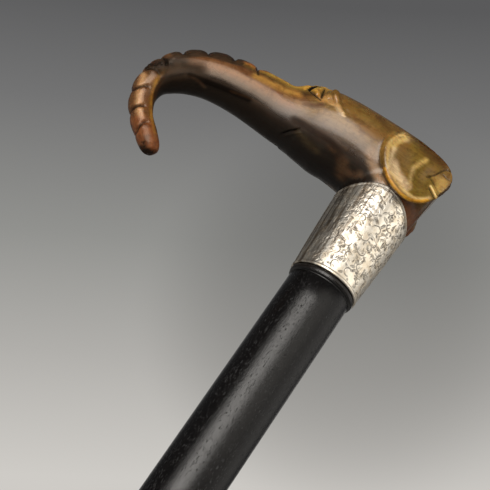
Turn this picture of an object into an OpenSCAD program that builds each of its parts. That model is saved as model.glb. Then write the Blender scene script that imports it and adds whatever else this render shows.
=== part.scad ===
// Walking cane with a carved elephant-head handle, upright on its ferrule.
// +Z runs up the shaft, the trunk points to -X, z = 0 is the foot.

/* [Whole cane] */
// Height of the cane from the floor to the top of the head, mm
overall_height = 900; // [700:1:1000]
// Height of the head's top above the collar's lower edge, mm
head_rise = 66.4; // [60:0.2:80]
// Length of the carved handle from trunk to back of the head, mm
handle_length = 109.4; // [90:0.1:130]

/* [Handle] */
// Depth of the creases across the outer side of the trunk, mm
crease_depth = 1.1; // [0:0.1:2]
// Radius of the neck inside the collar, mm
neck_radius = 10.6; // [8:0.1:11]
// Height of the neck's lower face above the collar's lower edge, mm
neck_bottom = 14; // [8:0.5:24]

/* [Ears] */
// Thickness of the ear at its rim, mm
ear_thickness = 2.5; // [1.5:0.1:4]
// Depth of the hollow in the middle of the ear, mm
ear_hollow = 1.9; // [0.5:0.1:3]

/* [Collar] */
// Outer radius at the collar's lower edge, mm
collar_foot_radius = 12.0; // [10:0.1:14]
// Outer radius at the collar's upper edge, mm
collar_top_radius = 14.1; // [11:0.1:16]
// Thickness of the silver sheet, mm
collar_wall = 0.6; // [0.3:0.1:1.5]
// Length of the collar at the front and back, mm
collar_short = 31; // [24:0.5:40]
// Radius of the saddle cut across the collar's upper edge, mm
saddle_radius = 19.5; // [16:0.1:30]
// Height of the pitch backing inside the collar, mm
packing_height = 30; // [20:0.5:30.5]

/* [Shaft] */
// Radius of the shaft just under its top bead, mm
shaft_top_radius = 11.05; // [9:0.05:13]
// Radius of the shaft where it meets the ferrule, mm
shaft_foot_radius = 7.75; // [6:0.05:10]
// Radius of the turned bead under the collar, mm
bead_radius = 11.85; // [11:0.05:13]
// Length of the turned bead, mm
bead_length = 2.2; // [1:0.1:4]

/* [Joint stud] */
// Radius of the rod that joins handle and shaft, mm
stud_radius = 3; // [2:0.1:4]
// Length of the rod, mm
stud_length = 48; // [30:1:60]

/* [Ferrule] */
// Height of the ferrule's upper edge above the floor, mm
ferrule_top = 38; // [25:1:50]
// Outer radius of the ferrule's straight barrel, mm
ferrule_radius = 8; // [6:0.1:10]
// Wall of the ferrule, mm
ferrule_wall = 0.8; // [0.5:0.1:1.5]
// Height of the turned groove at the top of the straight barrel, mm
ferrule_groove = 31.2; // [24:0.1:33]
// How far the band above the groove stands out from the barrel, mm
ferrule_step = 0.12; // [0.05:0.01:0.2]
// Height of the wearing head under the ferrule, mm
tip_head = 3.5; // [2:0.1:6]
// Radius of the shank of each ferrule pin, mm
pin_radius = 0.8; // [0.5:0.1:1.2]

/* [Hidden] */
rim = overall_height - head_rise;      // height of the collar's lower edge
axis_up = collar_short + saddle_radius; // axis of the saddle, above the rim
collar_tall = axis_up - sqrt(pow(saddle_radius, 2) - pow(collar_top_radius, 2));
glue = 0.05;                           // gap left for glue in hidden joints
spring = pin_radius + 0.02;            // radius of the holes for the pins
pin_height = ferrule_top - 4.15;
tip_shank = 9;                         // top of the tip's shank
sides = 28;                            // points round each section
steps = 4;                             // sections between two stations

// Stations from the back of the head to the trunk's end:
// x, height above the rim, half width, half height, crease (1 = yes)
stations = [
  [15.4, 49.2, 4.0, 4.0, 0], [14.3, 49.3, 9.6, 10.0, 0], [10.4, 49.4, 13.0, 15.0, 0],
  [2.6, 49.7, 14.6, 16.6, 0], [-7.0, 49.9, 15.2, 16.4, 0], [-17.0, 50.2, 15.6, 15.3, 0],
  [-25.0, 50.1, 15.0, 15.0, 0], [-32.2, 49.4, 13.7, 14.8, 0], [-39.0, 48.1, 11.4, 13.5, 0],
  [-45.1, 46.4, 9.9, 11.1, 0], [-51.8, 46.1, 9.6, 10.3, 0], [-60.0, 45.6, 9.3, 9.7, 1],
  [-68.3, 44.3, 8.9, 9.2, 1], [-75.6, 41.6, 8.3, 8.4, 1], [-81.6, 37.6, 7.6, 7.7, 1],
  [-85.9, 32.2, 6.6, 6.6, 1], [-87.6, 27.0, 5.6, 5.5, 1], [-87.0, 20.5, 4.8, 4.7, 1],
  [-83.3, 14.2, 4.4, 4.2, 1], [-78.2, 9.7, 3.9, 3.6, 1], [-74.2, 6.7, 3.3, 3.0, 0],
  [-72.3, 5.0, 2.2, 1.9, 0]];

// Rim of the near ear, clockwise from its front corner: x, height, distance out
ear_rim = [
  [-8.4, 56.3, 15.6], [-10.2, 50.8, 16.6], [-9.0, 45.8, 17.0], [-5.6, 40.7, 17.2],
  [-1.2, 37.1, 17.2], [3.6, 35.3, 17.3], [7.8, 35.4, 17.6], [11.6, 37.4, 18.0],
  [14.4, 41.1, 18.5], [16.1, 45.6, 18.9], [16.1, 49.8, 18.7], [14.1, 53.6, 18.0],
  [10.6, 56.4, 17.0], [5.6, 58.2, 16.0], [0.2, 58.7, 15.5], [-5.0, 58.1, 15.3]];
ear_middle = [3.2, 46.9];

function smooth4(a, b, c, d, t) = 0.5 * (2 * b + (c - a) * t
  + (2 * a - 5 * b + 4 * c - d) * t * t + (3 * b - a - 3 * c + d) * t * t * t);
function clamp_at(list, i) = list[max(0, min(len(list) - 1, i))];
function wrap_at(list, i) = list[(i + len(list)) % len(list)];
function station(i, t) = smooth4(clamp_at(stations, i - 1), clamp_at(stations, i),
  clamp_at(stations, i + 1), clamp_at(stations, i + 2), t);
// Outer radius of the collar at a height above the rim
function flare(z, u = 0) = collar_foot_radius + (collar_top_radius - collar_foot_radius)
  * (1.48 * z / collar_tall - 0.48 * pow(z / collar_tall, 2)) - u;

// One closed skin through rings of points, the first and last ring capped
module skin(rings) {
  m = len(rings[0]);
  n = len(rings);
  polyhedron(points = [for (r = rings, p = r) p], convexity = 8,
    faces = concat(
      [for (i = [0:n - 2], j = [0:m - 1])
        [i * m + j, (i + 1) * m + j, i * m + (j + 1) % m]],
      [for (i = [0:n - 2], j = [0:m - 1])
        [i * m + (j + 1) % m, (i + 1) * m + j, (i + 1) * m + (j + 1) % m]],
      [[for (j = [0:m - 1]) j]],
      [[for (j = [m - 1:-1:0]) (n - 1) * m + j]]));
}

// Head and trunk as one loft along the stations
module head_and_trunk() {
  line = [for (i = [0:len(stations) - 2], k = [0:steps - 1]) station(i, k / steps),
          stations[len(stations) - 1]];
  last = len(line) - 1;
  skin([for (i = [0:last])
    let (s = line[i], ahead = line[min(last, i + 1)], back = line[max(0, i - 1)],
         run = [ahead[0] - back[0], ahead[1] - back[1]], t = run / norm(run),
         dip = (i % steps == 0) ? crease_depth * s[4] : 0)
    [for (j = [0:sides - 1])
      let (a = 360 * j / sides, c = cos(a), w = sin(a),
           h = w * (s[3] - dip * pow(max(0, w), 0.7)))
      [s[0] + t[1] * h, -s[2] * c, s[1] - t[0] * h]]]);
}

// One ear: a dished leaf with a rounded rim, its root sunk in the head
module ear() {
  pts = [for (i = [0:len(ear_rim) - 1], k = [0:1])
    smooth4(wrap_at(ear_rim, i - 1), wrap_at(ear_rim, i),
            wrap_at(ear_rim, i + 1), wrap_at(ear_rim, i + 2), k / 2)];
  // share of the outline, distance the ring lies behind the rim's crest
  rings = [[0.30, 8.0], [0.74, ear_thickness + 2.6], [0.90, ear_thickness + 0.1],
           [0.97, ear_thickness], [1.00, ear_thickness * 0.6], [0.99, 0.4], [0.94, 0.0],
           [0.87, 0.5], [0.76, ear_hollow * 0.8], [0.50, ear_hollow], [0.18, ear_hollow]];
  skin([for (r = rings) [for (p = pts)
    [ear_middle[0] + (p[0] - ear_middle[0]) * r[0],
     -(p[2] - r[1] + (r[0] < 0.6 ? (17.2 - p[2]) * (1 - r[0]) : 0)),
     ear_middle[1] + (p[1] - ear_middle[1]) * r[0]]]]);
}

// Eyeball and temple ridge on one side of the head
module eye() {
  translate([-38.9, -8.2, 54.6]) rotate([0, -20, 8]) scale([1.4, 0.9, 1])
    sphere(r = 2.4, $fn = 16);
  translate([-31.2, -11.4, 54.4]) rotate([0, 50, 16]) scale([2.4, 1, 1])
    sphere(r = 2.4, $fn = 16);
}

module saddle(r) {
  translate([-40, 0, axis_up]) rotate([0, 90, 0]) cylinder(r = r, h = 80, $fn = 96);
}

module carving() {
  difference() {
    union() {
      head_and_trunk();
      ear();
      mirror([0, 1, 0]) ear();
      eye();
      mirror([0, 1, 0]) eye();
      // lower jaw
      translate([-25.5, 0, 43.3]) rotate([0, -4, 0]) scale([1.42, 1.12, 0.86])
        sphere(r = 10.2, $fn = 24);
      // root of the head, trimmed to the saddle
      intersection() {
        translate([0, 0, 27]) cylinder(r1 = 13.2, r2 = 14.4, h = 20, $fn = 48);
        saddle(saddle_radius - glue - 0.04);
      }
      // flange that rests on the pitch
      translate([0, 0, packing_height])
        cylinder(r = flare(packing_height, collar_wall + glue), h = 8, $fn = 48);
      translate([0, 0, neck_bottom])
        cylinder(r = neck_radius, h = packing_height - neck_bottom + 4, $fn = 48);
    }
    // room for the silver sheet
    difference() {
      translate([0, 0, packing_height - 1]) cylinder(r = collar_top_radius + 0.25, h = 12, $fn = 48);
      translate([0, 0, packing_height - 2])
        cylinder(r = flare(packing_height, collar_wall + glue) + 0.03, h = 14, $fn = 48);
      saddle(saddle_radius - glue);
    }
  }
}

module handle() {
  color([0.16, 0.10, 0.06])
    translate([0, 0, rim]) difference() {
      resize([handle_length, 0, 0]) carving();
      translate([0, 0, neck_bottom - 1])
        cylinder(r = stud_radius + glue, h = 1 + stud_length / 2 - 3.9, $fn = 64);
    }
}

module joint_stud() {
  color([0.42, 0.42, 0.44])
    translate([0, 0, rim + neck_bottom - stud_length / 2 - 4])
      rotate_extrude($fn = 64) polygon([[0, 0], [stud_radius - 0.6, 0], [stud_radius, 0.6],
        [stud_radius, stud_length - 0.6], [stud_radius - 0.6, stud_length], [0, stud_length]]);
}

module collar() {
  color([0.74, 0.71, 0.66])
    translate([0, 0, rim]) difference() {
      rotate_extrude($fn = 96) polygon(concat(
        [[flare(0, collar_wall), 0], [collar_foot_radius + 0.15, 0],
         [collar_foot_radius + 0.4, 0.3], [collar_foot_radius + 0.45, 0.8],
         [collar_foot_radius + 0.4, 1.3], [collar_foot_radius + 0.15, 1.7], [flare(2), 2]],
        [for (z = [7:5:collar_tall + 1]) [flare(z), z]],
        [[flare(collar_tall + 1.5), collar_tall + 1.5],
         [flare(collar_tall + 1.5, collar_wall), collar_tall + 1.5]],
        [for (z = [37:-5:2]) [flare(z, collar_wall), z]]));
      difference() {
        saddle(saddle_radius);
        translate([-50, -50, 0]) cube([100, 100, collar_short - 1]);
      }
      // turned line above the plain foot band
      translate([0, 0, 4]) rotate_extrude($fn = 96)
        translate([flare(4) + 0.12, 0]) circle(r = 0.28, $fn = 16);
    }
}

module collar_packing() {
  color([0.09, 0.08, 0.07])
    translate([0, 0, rim]) difference() {
      rotate_extrude($fn = 96) polygon(concat(
        [[neck_radius + 0.02, 0], [flare(0, collar_wall), 0]],
        [for (z = [2:5:packing_height - 1]) [flare(z, collar_wall), z]],
        [[flare(packing_height, collar_wall), packing_height],
         [neck_radius + 0.02, packing_height]]));
    }
}

module shaft() {
  color([0.07, 0.055, 0.05])
    difference() {
      rotate_extrude($fn = 96) polygon([
        [0, tip_shank], [ferrule_radius - ferrule_wall - 0.02, tip_shank],
        [ferrule_radius - ferrule_wall - 0.02, ferrule_top],
        [shaft_foot_radius, ferrule_top],
        [shaft_top_radius, rim - bead_length - 0.4],
        [bead_radius - 0.3, rim - bead_length + 0.1],
        [bead_radius - 0.05, rim - bead_length + 0.6], [bead_radius, rim - bead_length / 2],
        [bead_radius - 0.05, rim - 0.6], [bead_radius - 0.3, rim],
        [neck_radius, rim], [neck_radius, rim + neck_bottom], [0, rim + neck_bottom]]);
      translate([0, 0, rim + neck_bottom - stud_length / 2 - 4.1])
        cylinder(r = stud_radius + glue, h = stud_length, $fn = 64);
      for (s = [-1, 1]) translate([s * 10, 0, pin_height]) rotate([0, -s * 90, 0])
        cylinder(r = spring, h = 7.2, $fn = 24);
    }
}

module ferrule() {
  color([0.66, 0.50, 0.24])
    difference() {
      rotate_extrude($fn = 96) polygon([
        [ferrule_radius - ferrule_wall, tip_head], [ferrule_radius - 0.2, tip_head],
        [ferrule_radius, tip_head + 0.2], [ferrule_radius, ferrule_groove],
        [ferrule_radius - 0.3, ferrule_groove + 0.3],
        [ferrule_radius + ferrule_step, ferrule_groove + 0.7],
        [ferrule_radius + ferrule_step, ferrule_top - 2.2],
        [ferrule_radius + 0.3, ferrule_top - 1.9], [ferrule_radius + 0.4, ferrule_top - 1.2],
        [ferrule_radius + 0.25, ferrule_top - 0.4], [ferrule_radius, ferrule_top],
        [ferrule_radius - ferrule_wall, ferrule_top]]);
      for (s = [-1, 1]) translate([s * 10, 0, pin_height]) rotate([0, -s * 90, 0])
        cylinder(r = spring, h = 4, $fn = 24);
    }
}

module ferrule_tip() {
  color([0.36, 0.35, 0.35])
    rotate_extrude($fn = 96) polygon([
      [0, 0], [ferrule_radius - 1.2, 0], [ferrule_radius - 0.5, 0.35],
      [ferrule_radius - 0.2, 1.1], [ferrule_radius - 0.2, tip_head],
      [ferrule_radius - ferrule_wall - 0.02, tip_head],
      [ferrule_radius - ferrule_wall - 0.02, tip_shank], [0, tip_shank]]);
}

// One brad, its head outside the ferrule; side is 1 or -1 along X
module brad(side) {
  color([0.62, 0.47, 0.23])
    translate([side * (ferrule_radius + ferrule_step), 0, pin_height])
      rotate([0, side * 90, 0]) rotate_extrude($fn = 32) polygon([
        [0, -4.5], [pin_radius * 0.5, -4.2], [pin_radius, -3], [pin_radius, -0.02],
        [1.4, 0.06], [1.35, 0.3], [0.9, 0.5], [0, 0.6]]);
}

module ferrule_pin_front() { brad(-1); }
module ferrule_pin_back() { brad(1); }

handle();
joint_stud();
collar();
collar_packing();
shaft();
ferrule();
ferrule_tip();
ferrule_pin_front();
ferrule_pin_back();
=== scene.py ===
"""Walking cane with a carved elephant-head handle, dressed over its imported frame.

Sizes in the classes are millimetres. "up" is a height above the collar's lower
edge; the photographed side faces -Y and the trunk points to -X.
"""

import logging
import math
from dataclasses import dataclass, field
from enum import Enum

import bmesh
import bpy
import numpy as np
from mathutils import Matrix, Vector
from mathutils.bvhtree import BVHTree


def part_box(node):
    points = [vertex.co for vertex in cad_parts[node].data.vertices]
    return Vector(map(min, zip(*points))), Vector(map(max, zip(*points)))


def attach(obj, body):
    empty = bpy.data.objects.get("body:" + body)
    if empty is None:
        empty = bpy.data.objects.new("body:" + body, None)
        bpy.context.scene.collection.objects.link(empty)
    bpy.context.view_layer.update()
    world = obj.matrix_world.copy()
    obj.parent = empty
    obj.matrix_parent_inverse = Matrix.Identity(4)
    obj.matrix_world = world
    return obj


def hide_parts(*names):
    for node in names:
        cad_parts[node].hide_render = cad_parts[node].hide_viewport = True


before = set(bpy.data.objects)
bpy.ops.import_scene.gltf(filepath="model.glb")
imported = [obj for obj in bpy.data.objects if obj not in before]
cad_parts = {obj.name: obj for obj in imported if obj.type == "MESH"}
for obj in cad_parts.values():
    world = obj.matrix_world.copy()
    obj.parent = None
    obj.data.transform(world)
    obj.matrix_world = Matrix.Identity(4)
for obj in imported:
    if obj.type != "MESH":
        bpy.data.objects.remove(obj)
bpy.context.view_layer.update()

log = logging.getLogger("cane")
MM = 0.001
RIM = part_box("collar")[0][2] / MM  # height of the collar's lower edge
WELD = 1e-6  # metres within which points become one
Place = tuple[float, ...]
Colour = tuple[float, float, float]
Value = bpy.types.NodeSocket | Vector | tuple | list | float  # what a node's input takes


def linear(red: int, green: int, blue: int) -> Colour:
    """A tone given in 8-bit display values, as the scene-linear colour that shaders take.

    Args:
        red: Red, 0 to 255.
        green: Green, 0 to 255.
        blue: Blue, 0 to 255.

    Returns:
        The three linear channels.
    """
    shares = (channel / 255 for channel in (red, green, blue))
    return tuple(s / 12.92 if s <= 0.04045 else ((s + 0.055) / 1.055) ** 2.4 for s in shares)


def ease(low: float, high: float, value: np.ndarray) -> np.ndarray:
    """A smooth rise from 0 at low to 1 at high.

    Args:
        low: Where the rise starts; above high, the rise runs the other way.
        high: Where the rise ends.
        value: The numbers to place on the rise.

    Returns:
        The share of the rise at each number.
    """
    share = np.clip((value - low) / (high - low), 0, 1)
    return share * share * (3 - 2 * share)


def through(places: list[Place] | np.ndarray, per_span: int = 6, closed: bool = False) -> np.ndarray:
    """A smooth curve through given places.

    Args:
        places: The places, in order.
        per_span: How many samples lie between two places.
        closed: Whether the curve runs back to its first place.

    Returns:
        The samples, one a row.
    """
    p = np.asarray(places, float)
    if closed:
        p = np.vstack([p[-1:], p, p[:2]])
    else:
        p = np.vstack([2 * p[:1] - p[1:2], p, 2 * p[-1:] - p[-2:-1]])
    rows = []
    for a, b, c, d in zip(p, p[1:], p[2:], p[3:]):
        for t in np.linspace(0, 1, per_span, endpoint=False):
            rows.append(0.5 * (2 * b + (c - a) * t + (2 * a - 5 * b + 4 * c - d) * t * t
                               + (3 * b - a - 3 * c + d) * t ** 3))
    if not closed:
        rows.append(p[-2])
    return np.array(rows)


def distance_to(points: np.ndarray, line: np.ndarray) -> tuple[np.ndarray, np.ndarray]:
    """How far points lie from a polyline.

    Args:
        points: The points, one a row.
        line: The polyline's own points, one a row.

    Returns:
        The distance of each point, and the share of the line's length where it is nearest.
    """
    runs = np.linalg.norm(np.diff(line, axis=0), axis=1)
    starts = np.concatenate([[0.0], np.cumsum(runs)])
    best = np.full(len(points), np.inf)
    share = np.zeros(len(points))
    for a, b, run, start in zip(line, line[1:], runs, starts):
        if run < 1e-9:
            continue
        t = np.clip((points - a) @ (b - a) / run ** 2, 0, 1)
        d = np.linalg.norm(points - a - t[:, None] * (b - a), axis=1)
        near = d < best
        best[near] = d[near]
        share[near] = (start + t[near] * run) / starts[-1]
    return best, share


def in_frame(place: Place) -> Vector:
    """A place in millimetres from the collar's lower edge, in the frame's metres."""
    x, y, up = place
    return Vector((x * MM, y * MM, (RIM + up) * MM))


def rows_of(items: bpy.types.bpy_prop_collection, name: str) -> np.ndarray:
    """Reads one vector of each item.

    Args:
        items: The items, such as a mesh's points.
        name: The vector's name.

    Returns:
        The vectors, one a row.
    """
    flat = np.empty(len(items) * 3, np.float32)
    items.foreach_get(name, flat)
    return flat.reshape(-1, 3).astype(float)


def move_points(mesh: bpy.types.Mesh, points: np.ndarray) -> None:
    """Gives a mesh's points new places.

    Args:
        mesh: The mesh.
        points: The places in millimetres, one a row.
    """
    mesh.vertices.foreach_set("co", (points * MM).astype(np.float32).ravel())
    mesh.update()


def store(mesh: bpy.types.Mesh, name: str, rows: np.ndarray) -> None:
    """Keeps something for each point of a mesh, for its material to read.

    Args:
        mesh: The mesh.
        name: What it is read by.
        rows: One number a point, or a row of three for a vector or four for a colour.
    """
    kinds = {1: ("FLOAT", "value"), 3: ("FLOAT_VECTOR", "vector"), 4: ("FLOAT_COLOR", "color")}
    kind, part = kinds[rows[0].size]
    mesh.attributes.new(name, kind, "POINT").data.foreach_set(part, rows.astype(np.float32).ravel())


def finished(bm: bmesh.types.BMesh, name: str) -> bpy.types.Mesh:
    """Turns a mesh being shaped into a lasting one.

    Args:
        bm: The mesh being shaped; it is let go.
        name: The lasting mesh's name.

    Returns:
        The mesh.
    """
    mesh = bpy.data.meshes.new(name)
    bm.to_mesh(mesh)
    bm.free()
    return mesh


def relax(bm: bmesh.types.BMesh, verts: bmesh.types.BMVertSeq | list[bmesh.types.BMVert],
          times: int) -> None:
    """Draws points half way towards their neighbours.

    Args:
        bm: The mesh being shaped.
        verts: The points.
        times: How often.
    """
    for _ in range(times):
        bmesh.ops.smooth_vert(bm, verts=verts, factor=0.5, use_axis_x=True,
                              use_axis_y=True, use_axis_z=True)


def stand(name: str, data: bpy.types.ID) -> bpy.types.Object:
    """Puts a mesh, a lamp or a camera into the scene.

    Args:
        name: The object's name.
        data: What it holds.

    Returns:
        The object.
    """
    held = bpy.data.objects.new(name, data)
    bpy.context.scene.collection.objects.link(held)
    return held


def arc(middle: Place, reach: float, rise: float, turns: np.ndarray | range) -> list[Place]:
    """Corners of a rounded edge, for turned().

    Args:
        middle: Radius and height of its middle.
        reach: How far it stands out from there.
        rise: How far it stands up from there.
        turns: The angle of each corner above straight outwards, in degrees.

    Returns:
        Radius and height of each corner.
    """
    radius, up = middle
    return [(radius + reach * math.cos(math.radians(turn)), up + rise * math.sin(math.radians(turn)))
            for turn in turns]


def turned(name: str, outline: list[Place], steps: int, axis: Place = (0, 0, 1),
           foot: Place = (0, 0, 0)) -> bpy.types.Object:
    """A closed piece turned from an outline.

    Args:
        name: The piece's name.
        outline: Radius and height of each corner; the ends lie on the axis, or the outline closes.
        steps: Faces round the piece.
        axis: The direction of the axis.
        foot: Where height 0 lies, in millimetres of the row frame.

    Returns:
        The piece, in place.
    """
    bm = bmesh.new()
    corners = [bm.verts.new((r * MM, 0, z * MM)) for r, z in outline]
    edges = [bm.edges.new(pair) for pair in zip(corners, corners[1:])]
    if outline[0][0] > 0:
        edges.append(bm.edges.new((corners[-1], corners[0])))
    bmesh.ops.spin(bm, geom=corners + edges, cent=(0, 0, 0), axis=(0, 0, 1),
                   angle=2 * math.pi, steps=steps, use_merge=True)
    bmesh.ops.remove_doubles(bm, verts=bm.verts, dist=WELD)
    bmesh.ops.recalc_face_normals(bm, faces=bm.faces)
    turn = Vector((0, 0, 1)).rotation_difference(Vector(axis)).to_matrix().to_4x4()
    bmesh.ops.transform(bm, matrix=Matrix.Translation(Vector(foot) * MM) @ turn, verts=bm.verts)
    mesh = finished(bm, name)
    mesh.shade_smooth()
    return stand(name, mesh)


def settle(piece: bpy.types.Object, node: str, material: bpy.types.Material) -> None:
    """Dresses a piece and lets it stand for its frame node.

    Args:
        piece: The piece.
        node: The node that it replaces.
        material: Its material.
    """
    piece.data.materials.append(material)
    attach(piece, "root")
    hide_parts(node)


class Nodes:
    """A node tree, with short calls for the nodes that the finishes and the studio share."""

    def __init__(self, tree: bpy.types.NodeTree) -> None:
        """Takes the tree that the nodes go into."""
        self.tree = tree

    def add(self, kind: str, **values: Value) -> bpy.types.Node:
        """Adds a node.

        Args:
            kind: The node's type name, without its ShaderNode prefix.
            **values: Input values by name, spaces as underscores; a socket is linked.

        Returns:
            The node.
        """
        node = self.tree.nodes.new("ShaderNode" + kind)
        for name, value in values.items():
            self.put(node, name.replace("_", " "), value)
        return node

    def put(self, node: bpy.types.Node, name: str | int, value: Value) -> None:
        """Sets or links one input.

        Args:
            node: The node.
            name: The input's name, or its number.
            value: A socket to link, or a value.
        """
        socket = node.inputs[name]
        if isinstance(value, bpy.types.NodeSocket):
            self.tree.links.new(value, socket)
        elif socket.type == "RGBA":
            socket.default_value = (*value, 1)
        else:
            socket.default_value = value

    def span(self, value: bpy.types.NodeSocket, low: float, high: float, to_low: float = 0,
             to_high: float = 1, kind: str = "SMOOTHSTEP") -> bpy.types.NodeSocket:
        """A value carried from one range to another, clamped.

        Args:
            value: The value.
            low: Start of its range.
            high: End of its range.
            to_low: Result at low.
            to_high: Result at high.
            kind: How it runs in between.

        Returns:
            The value socket.
        """
        node = self.add("MapRange", Value=value, From_Min=low, From_Max=high,
                        To_Min=to_low, To_Max=to_high)
        node.interpolation_type = kind
        return node.outputs[0]

    def maths(self, kind: str, *values: Value) -> bpy.types.NodeSocket:
        """One sum on two or three values.

        Args:
            kind: The operation's name.
            *values: The values or sockets, in order.

        Returns:
            The value socket.
        """
        node = self.add("Math")
        node.operation = kind
        for number, value in enumerate(values):
            self.put(node, number, value)
        return node.outputs[0]

    def mix(self, share: Value, a: Value, b: Value, blend: str = "MIX") -> bpy.types.NodeSocket:
        """Two colours mixed.

        Args:
            share: How much of b shows, a value or socket.
            a: The first colour or socket.
            b: The second colour or socket.
            blend: The blend type.

        Returns:
            The colour socket.
        """
        node = self.add("Mix")
        node.data_type = "RGBA"
        node.blend_type = blend
        for number, value in ((0, share), (6, a), (7, b)):  # the colour sockets are 6 and 7
            self.put(node, number, value)
        return node.outputs[2]


class Graph(Nodes):
    """The node tree of one material."""

    def __init__(self, name: str) -> None:
        """Starts a material with a Principled shader.

        Args:
            name: The material's name.
        """
        self.material = bpy.data.materials.new(name)
        self.material.use_nodes = True
        super().__init__(self.material.node_tree)
        self.shader = self.tree.nodes["Principled BSDF"]

    def set(self, **values: Value) -> None:
        """Sets or links inputs of the Principled shader, named as in add."""
        for name, value in values.items():
            self.put(self.shader, name.replace("_", " "), value)

    def place(self, scale: Place = (1, 1, 1)) -> bpy.types.NodeSocket:
        """Object coordinates in millimetres, times a factor along each axis."""
        where = self.add("TexCoord").outputs["Object"]
        return self.add("Mapping", Vector=where, Scale=[s / MM for s in scale]).outputs[0]

    def axes(self) -> bpy.types.bpy_prop_collection:
        """The three object coordinates in millimetres, by the names X, Y and Z."""
        return self.add("SeparateXYZ", Vector=self.place()).outputs

    def attribute(self, name: str, read: str = "Fac") -> bpy.types.NodeSocket:
        """Something stored on the mesh.

        Args:
            name: The attribute's name.
            read: What it is read as: Fac, Color or Vector.

        Returns:
            The socket.
        """
        node = self.add("Attribute")
        node.attribute_name = name
        return node.outputs[read]

    def noise(self, scale: Place, detail: float, rough: float, twist: float = 0,
              along: str = "") -> bpy.types.NodeSocket:
        """Noise from 0 to 1.

        Args:
            scale: Features per millimetre along each axis.
            detail: Octaves.
            rough: Strength of the finer octaves.
            twist: Distortion.
            along: A vector stored on the mesh that it follows; without one it follows the piece.

        Returns:
            The value socket.
        """
        if along:
            where = self.add("Mapping", Vector=self.attribute(along, "Vector"), Scale=scale).outputs[0]
        else:
            where = self.place(scale)
        return self.add("TexNoise", Vector=where, Scale=1.0, Detail=detail,
                        Roughness=rough, Distortion=twist).outputs["Fac"]

    def bump(self, height: bpy.types.NodeSocket, depth: float, strength: float = 1,
             under: bpy.types.NodeSocket | None = None) -> bpy.types.NodeSocket:
        """A surface normal from heights.

        Args:
            height: The heights, 0 to 1.
            depth: What a height of 1 stands for.
            strength: How strongly it shows.
            under: A normal that it is laid over.

        Returns:
            The normal socket.
        """
        node = self.add("Bump", Height=height, Strength=strength, Distance=depth * MM)
        if under is not None:
            self.put(node, "Normal", under)
        return node.outputs[0]


@dataclass(frozen=True)
class Horn:
    """Polished horn: painted tones with streaks along the growth, fine pores and handling wear."""

    streak: float = 0.36
    shine: float = 0.18
    gleam: Colour = linear(255, 232, 210)  # the red horn of the trunk tints what it reflects

    def material(self) -> bpy.types.Material:
        """Mixes the horn's tones, streaks and gloss.

        Returns:
            The material.
        """
        g = Graph("horn")
        tone = g.attribute("tone", "Color")
        dirt_and_shade = g.attribute("dirt_and_shade")
        fibres = g.noise((0.06, 0.9, 0.9), 5, 0.62, 0.5, along="grain")
        clouds = g.noise((0.05, 0.16, 0.16), 3, 0.5, 0.6, along="grain")
        flecks = g.noise((0.9, 0.9, 0.9), 4, 0.7)
        deep = g.mix(1.0, tone, linear(150, 120, 92), "MULTIPLY")
        pale = g.mix(0.5, tone, linear(216, 176, 116), "OVERLAY")
        colour = g.mix(g.span(fibres, 0.42, 0.66, 0, self.streak), tone, deep)
        colour = g.mix(g.span(clouds, 0.50, 0.72, 0, 0.4), colour, pale)
        colour = g.mix(g.span(flecks, 0.58, 0.74, 0, 0.4), colour, deep)
        mottle = g.noise((0.42, 0.42, 0.42), 5, 0.68, 0.4)
        colour = g.mix(g.span(mottle, 0.46, 0.66, 0, 0.45), colour, deep)
        colour = g.mix(g.span(mottle, 0.46, 0.34, 0, 0.3), colour, pale)
        # near black in the hollows: dirt in the cuts, and painted shade in the cuts and the notches
        colour = g.mix(dirt_and_shade, colour, linear(11, 7, 5))
        worn = g.maths("MAXIMUM", dirt_and_shade, g.attribute("dull"))
        g.set(Base_Color=colour, IOR=1.54, Specular_IOR_Level=g.span(worn, 0, 1, 0.55, 0.1))
        reddened = g.span(g.axes()["X"], -58, -34, 1.0, 0.35)
        g.set(Specular_Tint=g.mix(reddened, linear(255, 255, 255), self.gleam))
        smears = g.noise((0.18, 0.18, 0.18), 4, 0.65, 0.8)
        rough = g.span(smears, 0.35, 0.7, self.shine, self.shine + 0.10)
        g.set(Roughness=g.maths("ADD", rough, g.maths("MULTIPLY", worn, 0.4)))
        scratches = g.noise((0.12, 3.2, 3.2), 4, 0.6, along="grain")
        normal = g.bump(scratches, 0.035, 0.45)
        pores = g.noise((2.6, 2.6, 2.6), 3, 0.5)
        g.set(Normal=g.bump(pores, 0.03, 0.5, normal))
        g.set(Subsurface_Weight=0.12, Subsurface_Scale=0.0016)
        return g.material


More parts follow.
